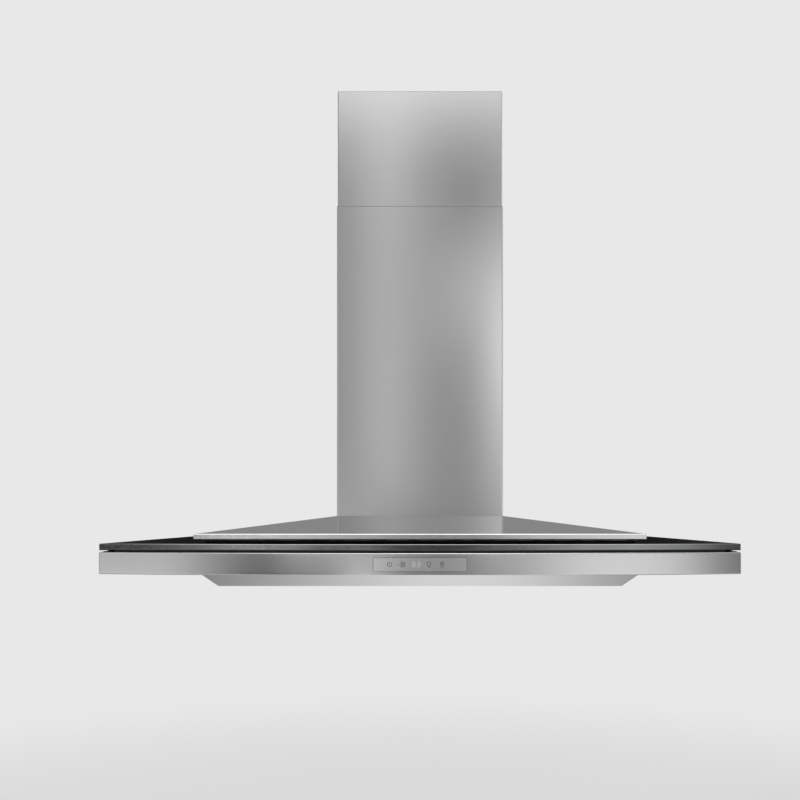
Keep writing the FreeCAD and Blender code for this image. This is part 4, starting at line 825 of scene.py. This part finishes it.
def makeLamps():
    # The bezel's section is turned right round; the lens is a shallow dish with fine moulded
    # rings, its depth a parabola and a cosine of the radius.
    outer, lens, segments = lamp["bezel"], lamp["lens"], lamp["segments"]
    tube, lip, sleeve, play = lens + lamp["gap"], lamp["lip"], lamp["sleeve"], lamp["play"]
    wall = tube + lamp["sleeveWall"]
    rim = roundedPath(
        [(wall, sleeve), (wall, 0), (outer, 0), (outer, -lip), (tube, -lip), (tube, sleeve)],
        lamp["rounds"],
    )
    centres = [(side * lamp["x"], lamp["y"], lamp["face"]) for side in (-1, 1)]
    ring = gridFaces(len(rim), segments, True, True).tolist()
    piece = joined("lampBezels", [(lathe(rim, c, segments), ring) for c in centres])
    finishPiece(piece, "hood", materials["chrome"], "lamp_bezels")
    radius = np.linspace(0, lens - lamp["rim"], lamp["rings"])
    dish = lamp["dishRise"] * (radius / lens) ** 2 - lamp["dish"]
    ripple = lamp["ripple"] * np.cos(radius * np.pi / lamp["halfRing"])
    profile = list(zip(radius.tolist(), (dish + ripple).tolist()))
    profile += [(lens - play, -play), (lens - play, lamp["lensThick"]), (0.0, lamp["lensThick"])]
    piece = joined("lampLenses", [latheDisc(profile, c, segments) for c in centres])
    finishPiece(piece, "hood", materials["opal_lens"], "lamp_lenses")


makeLamps()
print("lamps done")


# The screws: pan heads with a cross recess.

screw = {
    "head": 4.0, "high": 2.4, "shank": 2.0, "tip": 1.2, "point": 1.0, "segments": 48,
    "recess": 1.1, "arm": 2.3, "slot": 0.55, "taper": 0.5,  # the cross
    "crown": 0.9, "crownPower": 3.2, "flatShare": 0.9, "rings": 13,
    "reach": 9.0,  # points nearer than this belong to one screw
}


def screwShell(seat, direction, length):
    # Rings from the crown's middle to the point. The crown is a shallow dome; inside the cross it
    # drops by the recess, less towards the arms' ends.
    head, high, segments = screw["head"], screw["high"], screw["segments"]
    rings = np.linspace(0, screw["flatShare"], screw["rings"])[1:]
    radius = np.concatenate([rings * head, [head, head]])
    dome = high - screw["crown"] * (radius / head) ** screw["crownPower"]
    dome[-1] = 0.0
    angle = np.linspace(0, 2 * np.pi, segments, endpoint=False)
    x, y = radius[:, None] * np.cos(angle), radius[:, None] * np.sin(angle)
    nearer, farther = np.minimum(abs(x), abs(y)), np.maximum(abs(x), abs(y))
    inCross = (nearer < screw["slot"]) & (farther < screw["arm"])
    taper = 1 - screw["taper"] * farther / screw["arm"]
    grid = [np.stack([x, y, dome[:, None] - screw["recess"] * inCross * taper], -1)]
    shank, pointStart = screw["shank"], screw["point"] - length
    for r, z in ((shank, 0.0), (shank, pointStart), (screw["tip"], -length)):
        grid.append(
            np.stack([r * np.cos(angle), r * np.sin(angle), np.full(segments, z)], -1)[None]
        )
    grid = np.concatenate(grid)
    rows, step = len(grid), np.arange(segments)
    poles = [[0, 0, high - screw["recess"]], [0, 0, -length]]
    points = np.concatenate([grid.reshape(-1, 3), poles])
    after, last = (step + 1) % segments, (rows - 1) * segments
    top, bottom = (np.full(segments, rows * segments + pole) for pole in (0, 1))
    faces = gridFaces(rows, segments, columnsClosed=True).tolist()
    faces += np.stack([after, step, top], 1).tolist()
    faces += np.stack([last + step, last + after, bottom], 1).tolist()
    up = -np.array(direction, float)
    side = np.cross(up, (0, 1, 0) if abs(up[1]) < 0.9 else (1, 0, 0))
    side /= np.linalg.norm(side)
    basis = np.stack([side, np.cross(up, side), up])
    return points @ basis + np.array(seat, float), faces


def screwSet(node, direction, length, seatAxis):
    # Finds each screw of the node by how near its points lie, and puts a finished one there.
    mesh = nodes[node].data
    co = np.zeros(len(mesh.vertices) * 3)
    mesh.vertices.foreach_get("co", co)
    co = co.reshape(-1, 3) / metre
    onSides = node in ("chimney_screws", "bracket_screws")
    flat = co.copy()
    flat[:, seatAxis] = np.sign(co[:, seatAxis]) * screw["reach"] if onSides else 0
    places, left = [], np.ones(len(co), bool)
    while left.any():
        near = left & (np.linalg.norm(flat - flat[left.argmax()], axis=1) < screw["reach"])
        places.append((co[near].min(0), co[near].max(0)))
        left &= ~near
    shells = []
    for low, high in places:
        seat = (low + high) / 2
        way = np.array(direction, float) * (-np.sign(seat[0]) if onSides else 1)
        outerEnd = low[seatAxis] if way[seatAxis] > 0 else high[seatAxis]
        seat[seatAxis] = outerEnd + way[seatAxis] * screw["high"]
        shells.append(screwShell(seat, way, length))
    piece = joined(camel(node), shells)
    finishPiece(piece, bodyOf[node], materials[slotOf[node]], node)
    print(node, len(shells))


for settings in (  # node, the way it is driven, length under the head, axis of the seat
    ("tray_screws", (0, 0, 1), 7, 2), ("blower_screws", (0, 0, -1), 6, 2),
    ("adaptor_screws", (0, 0, -1), 6, 2), ("chimney_screws", (1, 0, 0), 6, 0),
    ("bracket_screws", (1, 0, 0), 6, 0),
):
    screwSet(*settings)
print("screws done")


# The other pieces keep their CAD shape, welded, folded and broken at the edges.

folds = {  # node: bend radius in millimetres
    "canopy_cover": 1.3, "lower_tray": 1.3, "underside_panel": 1.3, "back_panel": 1.6,
    "inner_frame": 1.2, "filter_frame_left": 1.0, "filter_frame_right": 1.0,
    "filter_baffles_left": 0.9, "filter_baffles_right": 0.9, "filter_pull_left": 1.2,
    "filter_pull_right": 1.2, "blower_box": 1.4, "ceiling_bracket": 1.6,
    "terminal_box": 1.5, "terminal_cover": 1.0, "lamp_driver": 1.2, "glass_end_clips": 0.7,
    "glass_seal": 0.6, "glass_gasket": 0.5, "control_housing": 0.8, "control_board": 0.2,
    "level_display": 0.4,
}
cover = {"lipTop": -156.0, "upright": 0.1}


def paintLipHighlight(piece):
    # The upright lip round the cover's edge gets the fold finish: its lighter colour is a painted
    # highlight along the cover's edge.
    tilt, height = tiltAndHeight(piece)
    lip = (tilt < cover["upright"]) & (height < cover["lipTop"])
    piece.data.polygons.foreach_set("material_index", lip.astype(np.int32))


for node in sorted(nodes):
    if node in replaced:
        continue
    special = baffleSteel if node.startswith(("filter_frame", "filter_baffles")) else None
    piece = refinedCopy(node, folds.get(node, 0.0), special)
    if node == "canopy_cover":
        paintLipHighlight(piece)


# The studio.

studio = {
    "floor": -1.55, "floorRings": (0.5, 2.0, 5.0, 14.0), "floorSegments": 128,
    "fadeStart": 1.5, "fadeEnd": 5.5,
    "backdrop": "e8e8e8", "floorColour": "f0f0f0", "ambient": 0.6,
    "wallRadius": 4.0, "wallTop": 3.8, "wallCentre": -0.3, "base": 0.40,
    "wallColumns": 721, "wallRows": 357, "aim": (0.0, -0.25, 0.0),
}
ceilingCard = {
    "half": 3, "middle": -0.3, "points": 41, "radius": 2.2, "soft": 0.25, "low": 0.5, "more": 2.6,
}
floorCard = {
    "half": (2, 1.6), "points": (81, 65), "lift": 0.01, "low": 0.27, "more": 0.93,
    "middle": 0.13, "leftReach": 0.6, "rightReach": 0.5, "depthReach": 1.2,
}
view = {"lens": 38.57, "sensor": 36.0, "shift": (-0.025, 0.148), "place": (0.0, -1.7, -0.134)}
# Soft boxes and flags on the unseen wall round the hood, the later in front of the earlier:
# degrees from straight ahead towards +X, half width and softness in degrees, lowest and highest
# metre, softness in metres, brightness.
softBoxes = [
    # for the chimney's front
    (0.0, 11.0, 2.0, -0.2, 3.9, 0.06, 0.43),
    (0.0, 11.0, 2.0, 1.60, 3.9, 0.12, 0.33),
    (-3.1, 2.1, 0.8, -0.2, 3.9, 0.06, 0.91),
    (9.2, 2.6, 0.6, 0.40, 1.62, 0.12, 1.80),
    (9.2, 2.6, 0.6, -0.2, 0.5, 0.12, 1.15),
    (9.2, 2.0, 1.0, 1.58, 2.40, 0.10, 0.56),
    (4.4, 2.2, 0.7, 1.64, 2.30, 0.06, 0.16),
    (4.4, 2.2, 0.7, 1.05, 1.64, 0.06, 0.92),
    (0.0, 2.3, 1.0, 1.05, 1.70, 0.10, 0.66),
    (4.0, 1.7, 0.8, -0.2, 0.95, 0.06, 0.34),
    (-2.0, 4.5, 2.0, -0.16, 0.06, 0.05, 0.74),
    (2.0, 6.0, 2.0, -0.30, -0.15, 0.03, 0.26),
    (0.0, 28.0, 3.0, 2.48, 3.9, 0.03, 1.50),
    # for the band, the tray and the cover's edge
    (-43.0, 12.0, 1.6, -1.6, 1.2, 0.1, 1.02),
    (-21.2, 4.2, 1.4, -1.6, 0.3, 0.05, 0.0),
    (-13.2, 4.2, 1.2, -1.6, -0.26, 0.05, 0.22),
    (-7.4, 2.4, 1.2, -1.6, -0.26, 0.05, 1.34),
    (2.0, 6.2, 1.5, -1.6, -0.26, 0.05, 0.29),
    (27.8, 11.2, 3.0, -1.6, 0.3, 0.1, 1.22),
    (46.0, 6.0, 2.0, -1.6, 0.3, 0.1, 0.25),
    (-14.4, 4.6, 0.8, -0.24, -0.06, 0.02, 1.7),
    (15.0, 5.4, 1.0, -0.24, -0.06, 0.02, 1.15),
    # for the polished edge of the glass
    (-44.0, 10.0, 2.0, -0.35, -0.22, 0.01, 0.0),
    (0.0, 62.0, 2.0, -0.33, -0.265, 0.01, 0.0),
    (-22.5, 5.5, 2.0, -0.33, -0.265, 0.01, 1.9),
    (27.0, 10.0, 2.5, -0.33, -0.265, 0.01, 1.0),
    # beside and behind the hood
    (-92.0, 36.0, 2.5, -1.6, 3.8, 0.1, 0.42),
    (92.0, 36.0, 2.5, -1.6, 3.8, 0.1, 0.85),
    (180.0, 31.0, 3.0, 0.2, 2.4, 0.1, 0.30),
    (180.0, 31.0, 2.0, -1.0, 0.3, 0.05, 0.01),
]
studioLamps = [  # name, place, size, watts
    ("keyLamp", (-2.6, -3.2, 2.4), 1.8, 70),
    ("fillLamp", (3.0, -2.8, 1.2), 2.2, 42),
    ("topLamp", (0.0, -0.6, 3.2), 2.4, 50),
    ("lowLamp", (0.4, -2.2, -1.3), 1.6, 14),
]


def emptyTree(owner):
    # The node tree of a material or a world, cleared.
    owner.use_nodes = True
    owner.node_tree.nodes.clear()
    return owner.node_tree


def emissionMaterial(name):
    # Light from the mesh's own brightness attribute.
    material = bpy.data.materials.new(name)
    tree = emptyTree(material)
    value = addNode(tree, "ShaderNodeAttribute", {"attribute_name": "brightness"})
    glow = addNode(tree, "ShaderNodeEmission", None, {"Color": value.outputs["Color"]})
    addNode(tree, "ShaderNodeOutputMaterial", None, {"Surface": glow.outputs[0]})
    return material


def reflectionOnly(piece):
    # Seen only in reflections, like a card behind the camera's back.
    piece.visible_camera = piece.visible_diffuse = piece.visible_shadow = False
    piece.visible_transmission = piece.visible_volume_scatter = False


def glowMesh(name, points, faces, brightness):
    # A card with its brightness kept at each point.
    mesh = bpy.data.meshes.new(name)
    mesh.from_pydata(points.reshape(-1, 3).tolist(), [], faces.tolist())
    colour = np.ones((len(mesh.vertices), 4), np.float32)
    colour[:, :3] = brightness.reshape(-1, 1)
    layer = mesh.attributes.new("brightness", "FLOAT_COLOR", "POINT")
    layer.data.foreach_set("color", colour.reshape(-1))
    mesh.materials.append(emissionMaterial(name + "Light"))
    reflectionOnly(addObject(name, mesh))


def softStep(distance, softness):
    # From 0 to 1 as the distance passes 0: a logistic curve.
    return 1 / (1 + np.exp(np.clip(-distance / softness, -50, 50)))


def makeReflectionWall():
    # A cylinder of light round the hood; each soft box is a bump with soft sides and soft ends.
    degrees = np.linspace(-180, 180, studio["wallColumns"])
    height = np.linspace(studio["floor"], studio["wallTop"], studio["wallRows"])
    angle, z = np.meshgrid(np.radians(degrees), height)
    radius = studio["wallRadius"]
    points = np.stack([
        radius * np.sin(angle), studio["wallCentre"] - radius * np.cos(angle), z], axis=-1)
    value = np.full(angle.shape, studio["base"])
    for middle, half, soft, low, high, blur, bright in softBoxes:
        gap = np.abs((np.degrees(angle) - middle + 180) % 360 - 180)
        inside = softStep(half - gap, soft)
        value += (bright - value) * inside * softStep(z - low, blur) * softStep(high - z, blur)
    glowMesh("reflectionWall", points, gridFaces(*angle.shape), value)


def makeCeilingCard():
    # A broad soft box overhead, which lights the folds' upper edges: a disc with a soft rim.
    half, middle, count = ceilingCard["half"], ceilingCard["middle"], ceilingCard["points"]
    across = np.linspace(-half, half, count)
    x, y = np.meshgrid(across, np.linspace(middle - half, middle + half, count))
    points = np.stack([x, y, np.full(x.shape, studio["wallTop"])], axis=-1)
    inside = softStep(ceilingCard["radius"] - np.hypot(x, y - middle), ceilingCard["soft"])
    value = ceilingCard["low"] + ceilingCard["more"] * inside
    glowMesh("ceilingCard", points, gridFaces(*x.shape), value)


def makeFloorCard():
    # A pool of light on the floor under the hood, seen only in the steel: a bell curve both ways.
    across, away = (
        np.linspace(-half, half, count)
        for half, count in zip(floorCard["half"], floorCard["points"])
    )
    x, y = np.meshgrid(across, away)
    points = np.stack([x, y, np.full(x.shape, studio["floor"] + floorCard["lift"])], axis=-1)
    gap = x - floorCard["middle"]
    reach = np.where(gap < 0, floorCard["leftReach"], floorCard["rightReach"])
    pool = np.exp(-((gap / reach) ** 2) - ((y / floorCard["depthReach"]) ** 2))
    glowMesh("floorCard", points, gridFaces(*x.shape), floorCard["low"] + floorCard["more"] * pool)


def makeFloor():
    # A wide disc whose matt surface fades into the backdrop's colour before the horizon.
    segments, rings = studio["floorSegments"], studio["floorRings"]
    angle = np.linspace(0, 2 * np.pi, segments, endpoint=False)
    x, y = np.outer(rings, np.cos(angle)), np.outer(rings, np.sin(angle))
    grid = np.stack([x, y, np.full(x.shape, studio["floor"])], axis=-1)
    faces = gridFaces(*x.shape, columnsClosed=True).tolist() + [list(range(segments))]
    mesh = bpy.data.meshes.new("studioFloor")
    mesh.from_pydata(grid.reshape(-1, 3).tolist(), [], faces)
    material = bpy.data.materials.new("paintedFloor")
    tree = emptyTree(material)
    where = addNode(tree, "ShaderNodeTexCoord")
    flat = addNode(
        tree, "ShaderNodeVectorMath", {"operation": "MULTIPLY", 1: (1.0, 1.0, 0.0)},
        {0: where.outputs["Object"]},
    )
    distance = addNode(
        tree, "ShaderNodeVectorMath", {"operation": "LENGTH"}, {0: flat.outputs[0]}
    )
    fade = addNode(
        tree, "ShaderNodeMapRange",
        {"interpolation_type": "SMOOTHSTEP", 1: studio["fadeStart"], 2: studio["fadeEnd"],
         3: 0.0, 4: 1.0},
        {0: distance.outputs["Value"]},
    )
    matt = addNode(
        tree, "ShaderNodeBsdfDiffuse",
        {"Color": linearColour(studio["floorColour"]), "Roughness": 0.6},
    )
    air = addNode(tree, "ShaderNodeEmission", {"Color": linearColour(studio["backdrop"])})
    both = addNode(
        tree, "ShaderNodeMixShader", None,
        {0: fade.outputs[0], 1: matt.outputs[0], 2: air.outputs[0]},
    )
    addNode(tree, "ShaderNodeOutputMaterial", None, {"Surface": both.outputs[0]})
    mesh.materials.append(material)
    floor = addObject("studioFloor", mesh)


def makeWorld():
    # The backdrop's colour for the camera and for reflections, a gentler level for the lighting.
    world = bpy.data.worlds.new("studioAir")
    bpy.context.scene.world = world
    tree = emptyTree(world)
    ray = addNode(tree, "ShaderNodeLightPath")
    seen = ray.outputs["Is Camera Ray"]
    for other in ("Is Glossy Ray", "Is Transmission Ray"):
        seen = addNode(
            tree, "ShaderNodeMath", {"operation": "MAXIMUM"}, {0: seen, 1: ray.outputs[other]}
        ).outputs[0]
    colour = linearColour(studio["backdrop"])
    lighting = addNode(
        tree, "ShaderNodeBackground", {"Color": colour, "Strength": studio["ambient"]}
    )
    shown = addNode(tree, "ShaderNodeBackground", {"Color": colour, "Strength": 1.0})
    both = addNode(
        tree, "ShaderNodeMixShader", None, {0: seen, 1: lighting.outputs[0], 2: shown.outputs[0]}
    )
    addNode(tree, "ShaderNodeOutputWorld", None, {"Surface": both.outputs[0]})


def makeLamp(name, place, size, watts):
    # A round area lamp turned to the hood; reflections show the cards instead.
    light = bpy.data.lights.new(name, "AREA")
    light.shape, light.size, light.energy = "DISK", size, watts
    lampObject = addObject(name, light)
    lampObject.location = place
    aim = np.array(studio["aim"]) - np.array(place)
    lampObject.rotation_euler = (
        math.atan2(math.hypot(aim[0], aim[1]), -aim[2]), 0.0, math.atan2(aim[0], -aim[1]) + math.pi
    )
    lampObject.visible_glossy = False


def makeCamera():
    # Level with the foot of the chimney, straight ahead of it.
    camera = bpy.data.cameras.new("viewCamera")
    camera.lens, camera.sensor_width = view["lens"], view["sensor"]
    camera.shift_x, camera.shift_y = view["shift"]
    viewer = addObject("viewCamera", camera)
    viewer.location = view["place"]
    viewer.rotation_euler = (math.radians(90), 0.0, 0.0)
    bpy.context.scene.camera = viewer


makeWorld()
makeFloor()
makeReflectionWall()
makeFloorCard()
makeCeilingCard()
for settings in studioLamps:
    makeLamp(*settings)
makeCamera()
bpy.context.scene.view_settings.view_transform = "Standard"
print("studio done")
